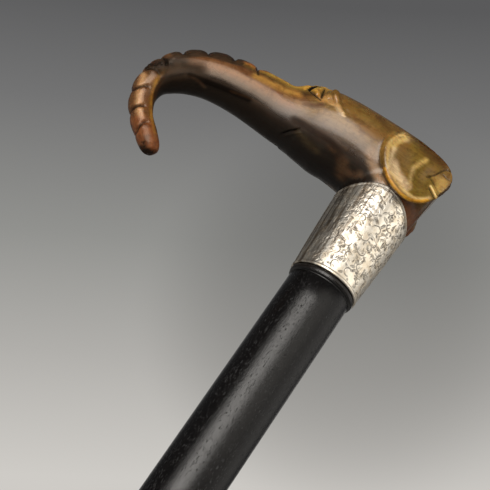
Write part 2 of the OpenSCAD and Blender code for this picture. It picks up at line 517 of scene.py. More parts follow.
@dataclass(frozen=True)
class Silver:
    """Engraved silver, rubbed bright on the faces and dark in the cuts."""

    def material(self) -> bpy.types.Material:
        """Mixes the silver's brightness, tarnish and dents.

        Returns:
            The material.
        """
        g = Graph("silver")
        tarnish = g.attribute("tarnish")
        veil = g.noise((0.35, 0.35, 0.35), 4, 0.6, 0.4)
        rubbed = g.noise((1.1, 1.1, 0.3), 5, 0.7)
        colour = g.mix(g.span(veil, 0.42, 0.68), linear(234, 228, 216), linear(222, 210, 190))
        colour = g.mix(g.span(rubbed, 0.5, 0.72, 0, 0.35), colour, linear(208, 195, 170))
        streaks = g.noise((0.9, 0.9, 0.035), 3, 0.6)
        axes = g.axes()
        flare = g.maths("MULTIPLY", g.maths("SUBTRACT", axes["Z"], RIM + 18), 0.25)
        # painted shade and reflection: dark streaks grow strong towards the trunk, for the dark room that
        # the silver reflects there
        dim = g.span(g.maths("SUBTRACT", axes["X"], flare), 3, -7, 0.1, 0.82)
        shaded_streaks = g.maths("MULTIPLY", g.span(streaks, 0.40, 0.62), dim)
        colour = g.mix(shaded_streaks, colour, linear(112, 92, 70))
        colour = g.mix(tarnish, colour, linear(34, 27, 20))
        g.set(Base_Color=colour)
        g.set(Metallic=g.span(tarnish, 0.3, 1.0, 1.0, 0.35))
        rough = g.span(veil, 0.3, 0.7, 0.36, 0.46)
        g.set(Roughness=g.maths("ADD", rough, g.maths("MULTIPLY", tarnish, 0.3)))
        brushed = g.noise((3.0, 3.0, 0.12), 3, 0.5)
        dents = g.noise((0.62, 0.62, 0.5), 2, 0.45, 0.3)
        normal = g.bump(dents, 0.14, 0.6)
        g.set(Normal=g.bump(brushed, 0.015, 0.5, normal))
        return g.material


@dataclass(frozen=True)
class EbonisedWood:
    """Black-stained wood under a thin satin polish, its long pores still open."""

    def material(self) -> bpy.types.Material:
        """Mixes the wood's stain, pores and polish.

        Returns:
            The material.
        """
        g = Graph("ebonised_wood")
        fibres = g.noise((3.6, 3.6, 0.32), 4, 0.7, 0.25)
        pores = g.noise((4.2, 4.2, 0.7), 3, 0.55)
        clouds = g.noise((0.10, 0.10, 0.012), 3, 0.5)
        colour = g.mix(g.span(fibres, 0.35, 0.75), linear(5, 4, 4), linear(13, 10, 8))
        colour = g.mix(g.span(clouds, 0.5, 0.75, 0, 0.3), colour, linear(20, 15, 12))
        pit = g.span(pores, 0.60, 0.70)
        colour = g.mix(pit, colour, linear(4, 3, 3))
        wear = g.attribute("wear")
        colour = g.mix(wear, colour, linear(92, 78, 66))
        g.set(Base_Color=colour, IOR=1.52)
        rough = g.span(fibres, 0.3, 0.75, 0.11, 0.24)
        g.set(Roughness=g.maths("ADD", rough, g.maths("MULTIPLY", pit, 0.25)))
        normal = g.bump(fibres, 0.08, 0.8)
        sunk = g.maths("SUBTRACT", 1.0, pit)
        g.set(Normal=g.bump(sunk, 0.08, 0.8, normal))
        return g.material


@dataclass(frozen=True)
class Metal:
    """Plain worked metal with rubbed faces, dull hollows and fine scratches."""

    name: str
    bright: Colour
    dull: Colour
    rough: float
    metallic: float = 1.0
    rings: float = 1.2  # turning marks to a millimetre

    def material(self) -> bpy.types.Material:
        """Mixes the metal's faces, hollows and scratches.

        Returns:
            The material.
        """
        g = Graph(self.name)
        stain = g.noise((0.3, 0.3, 0.3), 5, 0.6, 0.5)
        specks = g.noise((1.6, 1.6, 1.6), 3, 0.6)
        colour = g.mix(g.span(stain, 0.4, 0.68), self.bright, self.dull)
        colour = g.mix(g.span(specks, 0.62, 0.74, 0, 0.5), colour, self.dull)
        g.set(Base_Color=colour, Metallic=self.metallic)
        g.set(Roughness=g.span(stain, 0.35, 0.7, self.rough, self.rough + 0.2))
        marks = g.noise((0.5, 0.5, self.rings), 5, 0.7)
        normal = g.bump(marks, 0.05, 0.6)
        g.set(Normal=g.bump(specks, 0.05, 0.5, normal))
        return g.material


BRASS = Metal("brass", linear(186, 148, 84), linear(118, 88, 46), 0.30)
STEEL = Metal("steel", linear(136, 132, 128), linear(74, 66, 60), 0.36)
IRON = Metal("iron", linear(112, 110, 110), linear(66, 58, 52), 0.5)
PITCH = Metal("pitch", linear(34, 30, 27), linear(20, 17, 15), 0.7, metallic=0.0)


@dataclass(frozen=True)
class PhotoView:
    """The photographer's place, looking up at the handle from below its near side."""

    place: Place = (-4.9156, -298.5889, -143.3216)
    # the picture's right, its up and the way into it
    right: Place = (0.82014, -0.18819, 0.54032)
    up: Place = (-0.56772, -0.38503, 0.72763)
    ahead: Place = (-0.07111, 0.90351, 0.42262)
    lens: float = 74.08
    sensor: float = 36.0

    def build(self) -> None:
        """Makes the scene's camera."""
        camera = stand("camera", bpy.data.cameras.new("camera"))
        camera.data.lens = self.lens
        camera.data.sensor_width = self.sensor
        camera.data.clip_start = 0.01
        turn = Matrix((self.right, self.up, [-a for a in self.ahead])).transposed().to_4x4()
        camera.matrix_world = Matrix.Translation(in_frame(self.place)) @ turn
        bpy.context.scene.camera = camera


VIEW = PhotoView()


class Profile(Enum):
    """How a cut or a ridge runs across its width."""

    ROUND = "round"
    VEE = "vee"
    FLAT = "flat"

    def across(self, share: np.ndarray) -> np.ndarray:
        """Depth share at a distance from the middle line.

        Args:
            share: Distance over half the width.

        Returns:
            The share of the full depth.
        """
        if self is Profile.VEE:
            return np.clip(1 - share, 0, 1)
        if self is Profile.FLAT:
            return ease(1.25, 0.75, share)
        return np.exp(-1.4 * share ** 2)


@dataclass(frozen=True)
class Cut:
    """A carved line on the near side, mirrored to the far one; a negative depth raises it."""

    places: list[Place]  # x and up on the mid plane as the photographer sees them, or x, out and up
    width: float
    depth: float
    profile: Profile = Profile.ROUND
    fade: float = 0.2  # share of the length over which the ends run out
    # how far its hollow is darkened, dirt and painted shade together
    darkness: float = 0.0


@dataclass(frozen=True)
class Tint:
    """A soft-edged tone laid along a line on the horn, mirrored to the far side."""

    places: list[Place]  # two numbers as in Cut, or x, out and up
    radius: float
    soft: float
    tone: Colour  # in 8-bit display values
    strength: float = 1.0
    dull: float = 0.0  # how far the polish is lost


class Surface:
    """The carving's points as arrays, folded to the near side so that both sides match."""

    COVERED = -1.0  # how far a point faces the photographer when other horn stands before it
    EDGE = -0.3  # how far past edge-on a mark still fades out
    GRAZE = 0.5  # depth of horn that a line of sight may cut through
    SAMPLES = 5  # of a carved or painted line, between two of its places
    CHEEK = -13.5  # the ears stand further out than this, the head's end doesn't

    def __init__(self, mesh: bpy.types.Mesh) -> None:
        """Reads a mesh that stands in its place.

        Args:
            mesh: The mesh, in metres.
        """
        self.points = rows_of(mesh.vertices, "co") / MM - (0, 0, RIM)
        self.normals = rows_of(mesh.vertex_normals, "vector")
        count = len(self.points)
        self.fold = np.ones((count, 3))
        self.fold[:, 1] = np.where(self.points[:, 1] > 0, -1.0, 1.0)
        self.folded = self.points * self.fold
        self.facing = self.normals * self.fold
        sight = self.folded - VIEW.place
        self.sheet = (VIEW.place - sight * (VIEW.place[1] / sight[:, 1])[:, None])[:, [0, 2]]
        self.front = -(self.facing * sight).sum(1) / np.linalg.norm(sight, axis=1)
        self.open = self.front.copy()
        self._hide_covered(mesh)
        self.lift = np.zeros(count)
        self.dirt_and_shade = np.zeros(count)
        self.dull = np.zeros(count)
        self.tone = np.zeros((count, 3))

    def _hide_covered(self, mesh: bpy.types.Mesh) -> None:
        """Counts points that stand behind another part of the horn as facing away.

        Args:
            mesh: The mesh, in metres.
        """
        tree = BVHTree.FromPolygons([Vector(p) for p in self.points],
                                    [tuple(p.vertices) for p in mesh.polygons])
        eye = Vector(VIEW.place)
        for i in np.flatnonzero(self.front > 0):
            ray = Vector(self.folded[i]) - eye
            _, _, _, reach = tree.ray_cast(eye, ray.normalized())
            if reach is not None and reach < ray.length - self.GRAZE:
                self.front[i] = self.COVERED

    def spare_end(self) -> None:
        """Keeps marks off the end of the head, which the photographer sees edge-on."""
        end = ease(0.2, 0.7, self.facing[:, 0]) * ease(6, 10, self.folded[:, 0])
        self.front -= 0.7 * end * (self.folded[:, 1] > self.CHEEK)

    def soften(self, mesh: bpy.types.Mesh, rounds: int = 14) -> None:
        """Lets tones fade out behind the ears instead of ending there at once.

        Args:
            mesh: The mesh, in metres.
            rounds: How many points deep the fading reaches.
        """
        ends = np.empty(len(mesh.edges) * 2, np.int32)
        mesh.edges.foreach_get("vertices", ends)
        here, there = ends[::2], ends[1::2]
        both = np.concatenate([here, there])
        links = np.bincount(both, minlength=len(self.front))
        covered = (self.front == self.COVERED) & (self.open > 0)
        behind = (self.front < 0) & ~covered
        share, beside = (self.front < 0).astype(float), covered.astype(float)
        for _ in range(rounds):
            share, beside = (np.bincount(both, np.concatenate([s[there], s[here]]), len(s)) / links
                             for s in (share, beside))
        self.front[covered] = (self.open - 1.5 * ease(0.5, 0.9, share))[covered]
        self.front[behind] -= ease(0.0, 0.4, beside)[behind]

    def near(self, line: np.ndarray, reach: float) -> tuple[np.ndarray, np.ndarray]:
        """The points that lie within reach of a line's box.

        Args:
            line: The line, on the sheet or in space.
            reach: The distance, in millimetres.

        Returns:
            Their numbers, and their places in the line's own terms.
        """
        own = self.sheet if line.shape[1] == 2 else self.folded
        low, high = line.min(0) - reach, line.max(0) + reach
        picked = np.flatnonzero(((own > low) & (own < high)).all(1))
        return picked, own[picked]

    def carve(self, cut: Cut) -> None:
        """Adds a cut to the surface's lift.

        Args:
            cut: The cut.
        """
        line = through(cut.places, self.SAMPLES)
        picked, own = self.near(line, cut.width)
        far, share = distance_to(own, line)
        shape = cut.profile.across(far / (cut.width / 2))
        if line.shape[1] == 2:
            shape *= ease(self.EDGE, 0.0, self.front[picked])
        if cut.fade > 0:
            shape *= ease(0, cut.fade, share) * ease(1, 1 - cut.fade, share)
        self.lift[picked] -= cut.depth * shape
        # the cut's hollow is darkened: dirt and painted shade
        self.dirt_and_shade[picked] = np.maximum(self.dirt_and_shade[picked], cut.darkness * shape)

    def paint(self, tint: Tint) -> None:
        """Lays a tint over the tones.

        Args:
            tint: The tint.
        """
        line = through(tint.places, self.SAMPLES)
        picked, own = self.near(line, tint.radius + tint.soft)
        far, _ = distance_to(own, line)
        share = tint.strength * ease(tint.radius + tint.soft / 2, tint.radius - tint.soft / 2, far)
        if line.shape[1] == 2:
            share *= ease(self.EDGE, 0.0, self.front[picked])
        self.tone[picked] += share[:, None] * (linear(*tint.tone) - self.tone[picked])
        self.dull[picked] = np.maximum(self.dull[picked], share * tint.dull)

    def press(self, mesh: bpy.types.Mesh) -> None:
        """Moves the mesh's points by their lift.

        Args:
            mesh: The mesh, in metres.
        """
        move_points(mesh, self.points + self.normals * self.lift[:, None] + (0, 0, RIM))


@dataclass
class Handle:
    """Horn crook carved as an elephant's head, with a ridged trunk and two leaf-shaped ears."""

    voxel: float = 0.6  # size of the skin's faces before they are made finer
    keep_from: float = 24.0  # the neck below this is left out, inside the collar
    smoothings: int = 5
    bore_radius: float = 3.3  # the stud's hole is closed, up to the next height
    bore_top: float = 35.0
    trunk_from: float = -30.0  # x; the trunk beyond is not cut off at keep_from
    finish: Horn = field(default_factory=Horn)
    # middle line of head and trunk: x, up
    spine: tuple[Place, ...] = (
        (15.4, 49.2), (2.6, 49.7), (-17.0, 50.2), (-32.2, 49.4), (-45.1, 46.4), (-51.8, 46.1),
        (-60.0, 45.6), (-68.3, 44.3), (-75.6, 41.6), (-81.6, 37.6), (-85.9, 32.2), (-87.6, 27.0),
        (-87.0, 20.5), (-83.3, 14.2), (-78.2, 9.7), (-74.2, 6.7), (-72.3, 5.0))
    first_notch: int = 6  # the notches between the ridges cross it at its places from this one
    last_notch: int = 14  # to this one, counted from 0
    # where the skin is made finer: middle and radius at the eye, the ear, the mouth and the tip
    fine_balls: tuple[tuple[Place, float], ...] = (
        ((-36.5, 9.5, 55.5), 8.0), ((8.0, 17.5, 47.0), 12.5), ((-4.0, 16.0, 47.0), 10.0),
        ((-37.5, 9.5, 37.5), 6.0), ((-75.5, 0.0, 6.5), 4.5))
    fine_notch: float = 1.3  # and this far to either side of a notch
    # crest of the near ear's rim, clockwise from its front corner: x, up, out
    ear_rim: tuple[Place, ...] = (
        (-8.4, 56.3, 15.6), (-10.2, 50.8, 16.6), (-9.0, 45.8, 17.0), (-5.6, 40.7, 17.2),
        (-1.2, 37.1, 17.2), (3.6, 35.3, 17.3), (7.8, 35.4, 17.6), (11.6, 37.4, 18.0),
        (14.4, 41.1, 18.5), (16.1, 45.6, 18.9), (16.1, 49.8, 18.7), (14.1, 53.6, 18.0),
        (10.6, 56.4, 17.0), (5.6, 58.2, 16.0), (0.2, 58.7, 15.5), (-5.0, 58.1, 15.3))
    ear_fold: tuple[Place, ...] = (
        (5.6, 65.4), (5.0, 63.7), (4.3, 61.9), (3.3, 58.6), (3.4, 55.3), (4.4, 52.3), (6.4, 49.8))
    ear_swell: tuple[Place, ...] = ((-2.4, 54.4), (0.8, 52.6), (4.0, 51.4))
    ear_hollow: tuple[Place, ...] = ((8.0, 63.0), (7.2, 59.2), (6.9, 56.0), (7.4, 51.9))
    # the lid stands up at the skyline, behind a hollow
    brow: tuple[Cut, ...] = (
        Cut([(-42.6, -5.2, 60.2), (-41.3, -4.8, 61.7), (-39.2, -4.6, 62.6), (-37.2, -4.4, 63.2)],
            4.6, -0.8),
        Cut([(-50.0, -3.4, 57.2), (-46.6, -3.8, 57.9), (-43.8, -4.2, 58.7)], 6.0, 0.7, fade=0.3))
    # fuller end of the trunk
    tip: Cut = Cut([(-77.4, 0.0, 9.4), (-75.4, 0.0, 7.0), (-73.4, 0.0, 5.2)], 11, -0.8, fade=0)
    dish: float = 1.5
    seed: int = 5  # of the pits

    def build(self) -> bpy.types.Object:
        """Carves, colours and places the handle.

        Returns:
            The handle's object.
        """
        mesh = self._blank()
        form = Surface(mesh)
        self._shape_ears(form)
        self._ridges(form)
        for cut in (*self.brow, self.tip):
            form.carve(cut)
        form.press(mesh)
        surface = Surface(mesh)
        surface.dirt_and_shade = form.dirt_and_shade
        surface.soften(mesh)
        surface.spare_end()
        for cut in self._cuts():
            surface.carve(cut)
        self._pits(surface)
        self._colour(surface)
        surface.press(mesh)
        self._store(mesh, surface)
        mesh.shade_smooth()
        piece = stand("carved_handle", mesh)
        settle(piece, "handle", self.finish.material())
        return piece

    def _blank(self) -> bpy.types.Mesh:
        """The handle's plain form as an even, smoothed skin, finer where it is carved.

        Returns:
            The mesh, in metres, in place.
        """
        bm = bmesh.new()
        bm.from_mesh(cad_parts["handle"].data)
        bmesh.ops.remove_doubles(bm, verts=bm.verts, dist=WELD)
        bore = [f for f in bm.faces if f.calc_center_median().xy.length < self.bore_radius * MM
                and f.calc_center_median().z < (RIM + self.bore_top) * MM]
        bmesh.ops.delete(bm, geom=bore, context="FACES")
        neck = [f for f in bm.faces if f.calc_center_median().x > self.trunk_from * MM]
        parts = {part for f in neck for part in (*f.verts, *f.edges)}
        bmesh.ops.bisect_plane(bm, geom=neck + list(parts), plane_no=(0, 0, 1),
                               plane_co=(0, 0, (RIM + self.keep_from) * MM), clear_inner=True)
        bmesh.ops.holes_fill(bm, edges=[e for e in bm.edges if e.is_boundary])
        block = stand("blank", finished(bm, "blank"))
        remesh = block.modifiers.new("remesh", "REMESH")
        remesh.mode = "VOXEL"
        remesh.voxel_size = self.voxel * MM
        graph = bpy.context.evaluated_depsgraph_get()
        mesh = bpy.data.meshes.new_from_object(block.evaluated_get(graph))
        bpy.data.objects.remove(block)
        bm = bmesh.new()
        bm.from_mesh(mesh)
        relax(bm, bm.verts, self.smoothings)
        self._refine(bm)
        bm.to_mesh(mesh)
        bm.free()
        return mesh

    def _refine(self, bm: bmesh.types.BMesh) -> None:
        """Halves the faces at the eyes, the ears, the mouth and the trunk's notches.

        Args:
            bm: The mesh being shaped.
        """
        faces = list(bm.faces)
        middles = np.array([f.calc_center_median() for f in faces]) / MM - (0, 0, RIM)
        middles[:, 1] = np.abs(middles[:, 1])
        fine = np.zeros(len(faces), bool)
        for ball, radius in self.fine_balls:
            fine |= np.linalg.norm(middles - ball, axis=1) < radius
        along, angle, _ = self._run(middles)
        for run in self._notch_runs():
            fine |= (np.abs(along - run) < self.fine_notch) & (angle > -32)  # not on the inner side
        edges = {e for f, close in zip(faces, fine) if close for e in f.edges}
        made = bmesh.ops.subdivide_edges(bm, edges=list(edges), cuts=1, use_grid_fill=True)
        fresh = {v for v in made["geom_inner"] if isinstance(v, bmesh.types.BMVert)}
        fresh |= {v for f in bm.faces if len(f.verts) > 4 for v in f.verts}
        relax(bm, list(fresh), 2)

    def _run(self, points: np.ndarray) -> tuple[np.ndarray, np.ndarray, np.ndarray]:
        """Where points lie along and round the middle line.

        Args:
            points: The points, one a row.

        Returns:
            Length along the line, angle from the near side towards the outer side in
            degrees, and height towards the outer side.
        """
        line, runs = self._middle()
        flat = points[:, [0, 2]]
        _, share = distance_to(flat, line)
        along = share * runs[-1]
        foot = np.stack([np.interp(along, runs, line[:, i]) for i in (0, 1)], 1)
        ahead = np.gradient(line, runs, axis=0)
        tangent = np.stack([np.interp(along, runs, ahead[:, i]) for i in (0, 1)], 1)
        outward = np.stack([tangent[:, 1], -tangent[:, 0]], 1)
        height = ((flat - foot) * outward).sum(1)
        angle = np.degrees(np.arctan2(height, np.abs(points[:, 1])))
        return along, angle, height

    def _middle(self) -> tuple[np.ndarray, np.ndarray]:
        """The middle line's points, and its length up to each of them."""
        line = through(self.spine, 12)
        return line, np.concatenate([[0], np.cumsum(np.linalg.norm(np.diff(line, axis=0), axis=1))])

    def _notch_runs(self) -> np.ndarray:
        """Length along the middle line up to each notch.

        Returns:
            The lengths.
        """
        line, runs = self._middle()
        crossed = np.array(self.spine[self.first_notch:self.last_notch + 1])
        return distance_to(crossed, line)[1] * runs[-1]

    def _shape_ears(self, surface: Surface) -> None:
        """Works each ear into a rolled rim, a shallow dish and the fold that crosses it.

        Args:
            surface: The carving.
        """
        x, out, up = VIEW.place
        rim = np.array(self.ear_rim)
        scale = out / (out + rim[:, 2])
        seen = np.stack([x + (rim[:, 0] - x) * scale, up + (rim[:, 1] - up) * scale], 1)
        outline = through(seen, 4, closed=True)
        picked, own = surface.near(outline, 0)
        far, _ = distance_to(own, outline)
        inner = self._inside(own, outline) * far
        # how far out the crest lies at each point, from the places of the rim that are near it
        weights = 1 / (((own[:, None, :] - seen[None]) ** 2).sum(2) + 4.0)
        crest = (weights * rim[:, 2]).sum(1) / weights.sum(1)
        # the dish runs out where the ear meets the head, and is shallow at its rear corner
        open_top = ease(-9, 4, own[:, 0]) * ease(56, 67, own[:, 1])
        rear = ease(8.5, 12.5, own[:, 0]) * ease(46, 52, own[:, 1])
        depth = self.dish * (1 - 0.95 * open_top) * (1 - 0.8 * rear) * ease(0.5, 4.4, inner)
        depth += 0.7 * (1 - open_top) * np.clip(1 - inner / 1.5, 0, 1) ** 2
        depth += 0.016 * np.clip(own[:, 1] - 57.5, 0, 20) ** 2 * open_top
        fold, share = distance_to(own, through(self.ear_fold, 5))
        depth -= 0.8 * np.exp(-(fold / 2.0) ** 2) * ease(-0.05, 0.4, share) * ease(1.4, 0.8, share)
        swell, _ = distance_to(own, through(self.ear_swell, 5))
        depth -= 0.5 * np.exp(-(swell / 2.0) ** 2) * ease(0.6, 2.4, inner)
        hollow, share = distance_to(own, through(self.ear_hollow, 5))
        depth += 0.5 * np.exp(-(hollow / 2.2) ** 2) * ease(0, 0.5, share) * ease(1.05, 0.6, share)
        # each point slides along the photographer's line of sight, so the outline stays
        share = ease(0.0, 1.7, inner) * ease(0.05, 0.3, surface.front[picked])
        target = -(crest - depth)
        ray = surface.folded[picked] - VIEW.place
        moved = VIEW.place + ray * ((target - out) / ray[:, 1])[:, None]
        step = (moved - surface.folded[picked]) * share[:, None]
        surface.points[picked] += step * surface.fold[picked]

    @staticmethod
    def _inside(points: np.ndarray, outline: np.ndarray) -> np.ndarray:
        """Whether points lie inside a closed outline.

        Args:
            points: The points, one a row.
            outline: The outline's points, one a row.

        Returns:
            1 inside and 0 outside.
        """
        inside = np.zeros(len(points), bool)
        for (ax, az), (bx, bz) in zip(outline, np.roll(outline, -1, axis=0)):
            spans = (az > points[:, 1]) != (bz > points[:, 1])
            if az != bz:
                inside ^= spans & (points[:, 0] < ax + (bx - ax) * (points[:, 1] - az) / (bz - az))
        return inside.astype(float)

    def _ridges(self, surface: Surface) -> None:
        """Cuts the notches and rounds the ridges between them along the trunk's outer side.

        Args:
            surface: The carving.
        """
        along, angle, _ = self._run(surface.points)
        runs = self._notch_runs()
        first, turn, last = runs[0], runs[4], runs[-1]
        down = ease(turn - 5, turn + 3, along)  # 1 where the trunk has turned down
        along += 1.5 * down * ease(62, -8, angle)  # there the notches slant
        edge = 21 - 42 * down  # the angle at which the ridges start
        band = ease(-4, 5, angle - edge)
        deep = ease(-3, 22 - 8 * down, angle - edge) * (1 - 0.45 * down * ease(30, 85, angle))
        trunk = ease(first - 2.5, first + 0.5, along)
        place = np.interp(along, np.append(runs, last + 9), np.arange(len(runs) + 1.0))
        part = np.abs(2 * (place % 1) - 1)  # 0 on a ridge's middle and 1 at its ends
        pillow = (0.32 - 0.14 * down) * part ** 3 * (along < last + 8)
        notch = np.zeros(len(along))
        wide = np.zeros(len(along))
        for number, run in enumerate(runs):
            wander = 0.4 * np.sin(angle / 21 + 2.1 * number)
            notch = np.maximum(notch, np.exp(-((along - run - wander) / (0.42 + 0.1 * down)) ** 2))
            wide = np.maximum(wide, np.clip(1 - np.abs(along - run) / 1.7, 0, 1))
        surface.lift -= band * trunk * pillow + deep * trunk * 0.7 * notch
        surface.lift += 0.6 * down * wide * np.clip(np.sin(np.radians(angle)), 0, 1) ** 0.7
        surface.lift -= 0.22 * (1 - band) * trunk * ease(-40, 0, angle)
        # painted shade: the notches between the ridges are darkened
        surface.dirt_and_shade = np.maximum(surface.dirt_and_shade, 0.85 * deep * notch * trunk)

    def _cuts(self) -> list[Cut]:
        """Every carved line of the eye, the temple, the mouth and the ear, near side.

        Returns:
            The lines, in the order in which they are cut.
        """
        vee = Profile.VEE
        eye = [
            Cut([(-43.4, 60.2), (-42.9, 61.8), (-42.4, 63.2), (-41.6, 64.3), (-40.3, 65.1)],
                1.2, 0.4, Profile.FLAT, 0.1, darkness=1.0),
            Cut([(-43.2, 60.5), (-40.9, 60.4), (-38.9, 60.2), (-36.9, 59.9)], 0.9, 0.5, fade=0.15,
                darkness=1.0),
            Cut([(-39.0, 65.6), (-38.6, 63.6), (-38.1, 61.7), (-37.5, 60.5)], 1.1, 0.55, fade=0.15,
                darkness=1.0),
            Cut([(-41.4, 62.4), (-40.3, 61.8), (-39.4, 61.4)], 1.7, -0.4),
            Cut([(-36.9, 65.4), (-36.5, 63.6), (-35.4, 62.0)], 1.5, -0.35),
            Cut([(-35.6, 65.6), (-35.0, 64.0), (-33.6, 62.4)], 0.6, 0.2, darkness=0.2),
        ]
        temple = [
            Cut([(-35.4, 66.0), (-33.4, 64.1), (-31.2, 62.3), (-27.6, 60.2)], 2.2, -0.5, fade=0.12),
            Cut([(-33.4, 66.6), (-31.4, 64.6), (-29.2, 63.0), (-26.4, 61.2)], 1.5, 0.4),
            Cut([(-28.6, 60.8), (-27.2, 59.9)], 1.2, -0.35, fade=0.3),
        ]
        mouth = [
            Cut([(-41.0, 36.4), (-41.3, 38.9), (-40.6, 40.5), (-39.6, 42.2), (-38.2, 44.0),
                 (-37.0, 45.9)], 0.85, 0.9, vee, 0.25, darkness=1.0),
            Cut([(-40.4, 37.5), (-39.4, 40.1), (-37.5, 42.6), (-35.8, 44.6)], 1.2, -0.3),
        ]
        ear = [
            Cut([(8.7, 58.3), (10.6, 60.7), (11.7, 63.2), (13.1, 65.2), (15.2, 65.7)], 0.75, 0.75, vee,
                0.08, darkness=0.95),
            Cut([(8.7, 58.3), (9.4, 58.8)], 1.0, 0.5, fade=0, darkness=0.6),
            Cut([(9.4, 58.6), (12.1, 57.3), (15.6, 55.1)], 0.65, 0.5, vee, 0.1, darkness=0.7),
            Cut([(11.0, 55.0), (13.0, 53.8), (15.4, 52.2)], 0.75, 0.6, vee, 0.1, darkness=0.9),
            Cut([(11.4, 56.0), (13.4, 54.7), (15.7, 53.1)], 0.8, -0.3),
            Cut([(12.4, 63.2), (14.8, 62.2), (16.6, 62.6)], 0.7, 0.25, vee, darkness=0.4),
            Cut([(17.2, 60.6), (17.0, 58.0), (16.2, 55.6)], 0.9, 0.35, fade=0.1, darkness=0.6),
        ]
        ticks = [Cut([(x, up), (x + 1.4, up - 0.5)], 0.4, 0.1, fade=0.3, darkness=0.3)
                 for x, up in ((-8.4, 62.0), (-8.2, 63.4), (-7.9, 64.6), (-7.4, 65.8), (-6.6, 66.8),
                               (-5.4, 67.6), (3.4, 62.2), (3.9, 63.2))]
        return eye + temple + mouth + ear + ticks

    def _pits(self, surface: Surface) -> None:
        """Scatters small pits over the worn places.

        Args:
            surface: The carving.
        """
        rng = np.random.default_rng(self.seed)
        worn = (([(-93.0, 30.5), (-90.4, 34.8), (-87.2, 38.2)], 1.5, 34, 0.8),
                ([(-82.8, 7.6), (-80.4, 5.4)], 0.8, 12, 0.6),
                ([(-75.8, 5.6), (-73.8, 3.8), (-71.9, 4.6)], 1.2, 26, 0.7),
                ([(17.3, 61.5), (16.9, 57.5), (15.6, 54.4)], 0.6, 14, 0.8),
                ([(-12.4, 37.6), (-11.3, 40.2), (-9.6, 41.8), (-7.4, 43.0)], 0.6, 16, 0.9))
        for places, spread, count, darkness in worn:
            line = through(places, 6)
            for spot in rng.choice(line, count) + rng.normal(0, spread / 2, (count, 2)):
                size = rng.uniform(0.35, 0.9)
                surface.carve(Cut([tuple(spot), tuple(spot + rng.normal(0, 0.35, 2))], size,
                                  0.3 * size, fade=0, darkness=darkness))

    def _colour(self, surface: Surface) -> None:
        """Paints the horn from near black under the trunk to honey along the crest.

        Args:
            surface: The carving.
        """
        _, angle, _ = self._run(surface.points)
        turns = (-90, -56, -44, -34, -24, -8, 14, 24, 60, 90)
        trunk = np.array([linear(*tone) for tone in (
            (20, 15, 12), (24, 18, 13), (36, 24, 14), (22, 14, 8), (62, 42, 26), (126, 87, 54),
            (98, 64, 37), (52, 36, 23), (44, 32, 21), (42, 31, 21))])
        head = np.array([linear(*tone) for tone in (
            (22, 17, 13), (26, 20, 14), (38, 27, 16), (48, 32, 16), (92, 70, 42), (134, 106, 66),
            (122, 94, 44), (114, 84, 34), (96, 70, 27), (80, 58, 22))])
        far = ease(-36, -44, surface.points[:, 0])  # 0 on the head and 1 on the trunk
        for channel in range(3):
            surface.tone[:, channel] = (far * np.interp(angle, turns, trunk[:, channel])
                                        + (1 - far) * np.interp(angle, turns, head[:, channel]))
        surface.dull = 0.75 * ease(-34, -52, angle) * (1 - ease(-9, -3, surface.points[:, 0]))
        end = 0.85 * ease(0.1, 0.7, surface.facing[:, 0]) * ease(0, 8, surface.points[:, 0])
        surface.tone += end[:, None] * (linear(100, 70, 31) - surface.tone)
        for tint in self._tints():
            surface.paint(tint)
        # the ear's back and its low edge are redder and less polished
        under = ease(0.0, 0.5, surface.facing[:, 1]) * (surface.folded[:, 1] < -12.5)
        under *= ease(50, 46, surface.folded[:, 2])
        low = ease(42, 37, surface.folded[:, 2]) * ease(2, 6, surface.folded[:, 0])
        under = np.maximum(under, low * ease(-15.5, -13, surface.folded[:, 1]))
        under = under * (surface.folded[:, 0] > -12)
        surface.tone += under[:, None] * (linear(108, 64, 28) - surface.tone)
        surface.dull = np.maximum(surface.dull, 0.6 * under)
        surface.paint(Tint([(-5.0, 51.0), (-1.8, 48.8), (1.5, 47.2), (5.2, 46.3), (8.3, 46.5), (11.4, 48.2),
                            (13.4, 50.2)], 0.7, 0.7, (206, 150, 46), 0.9))

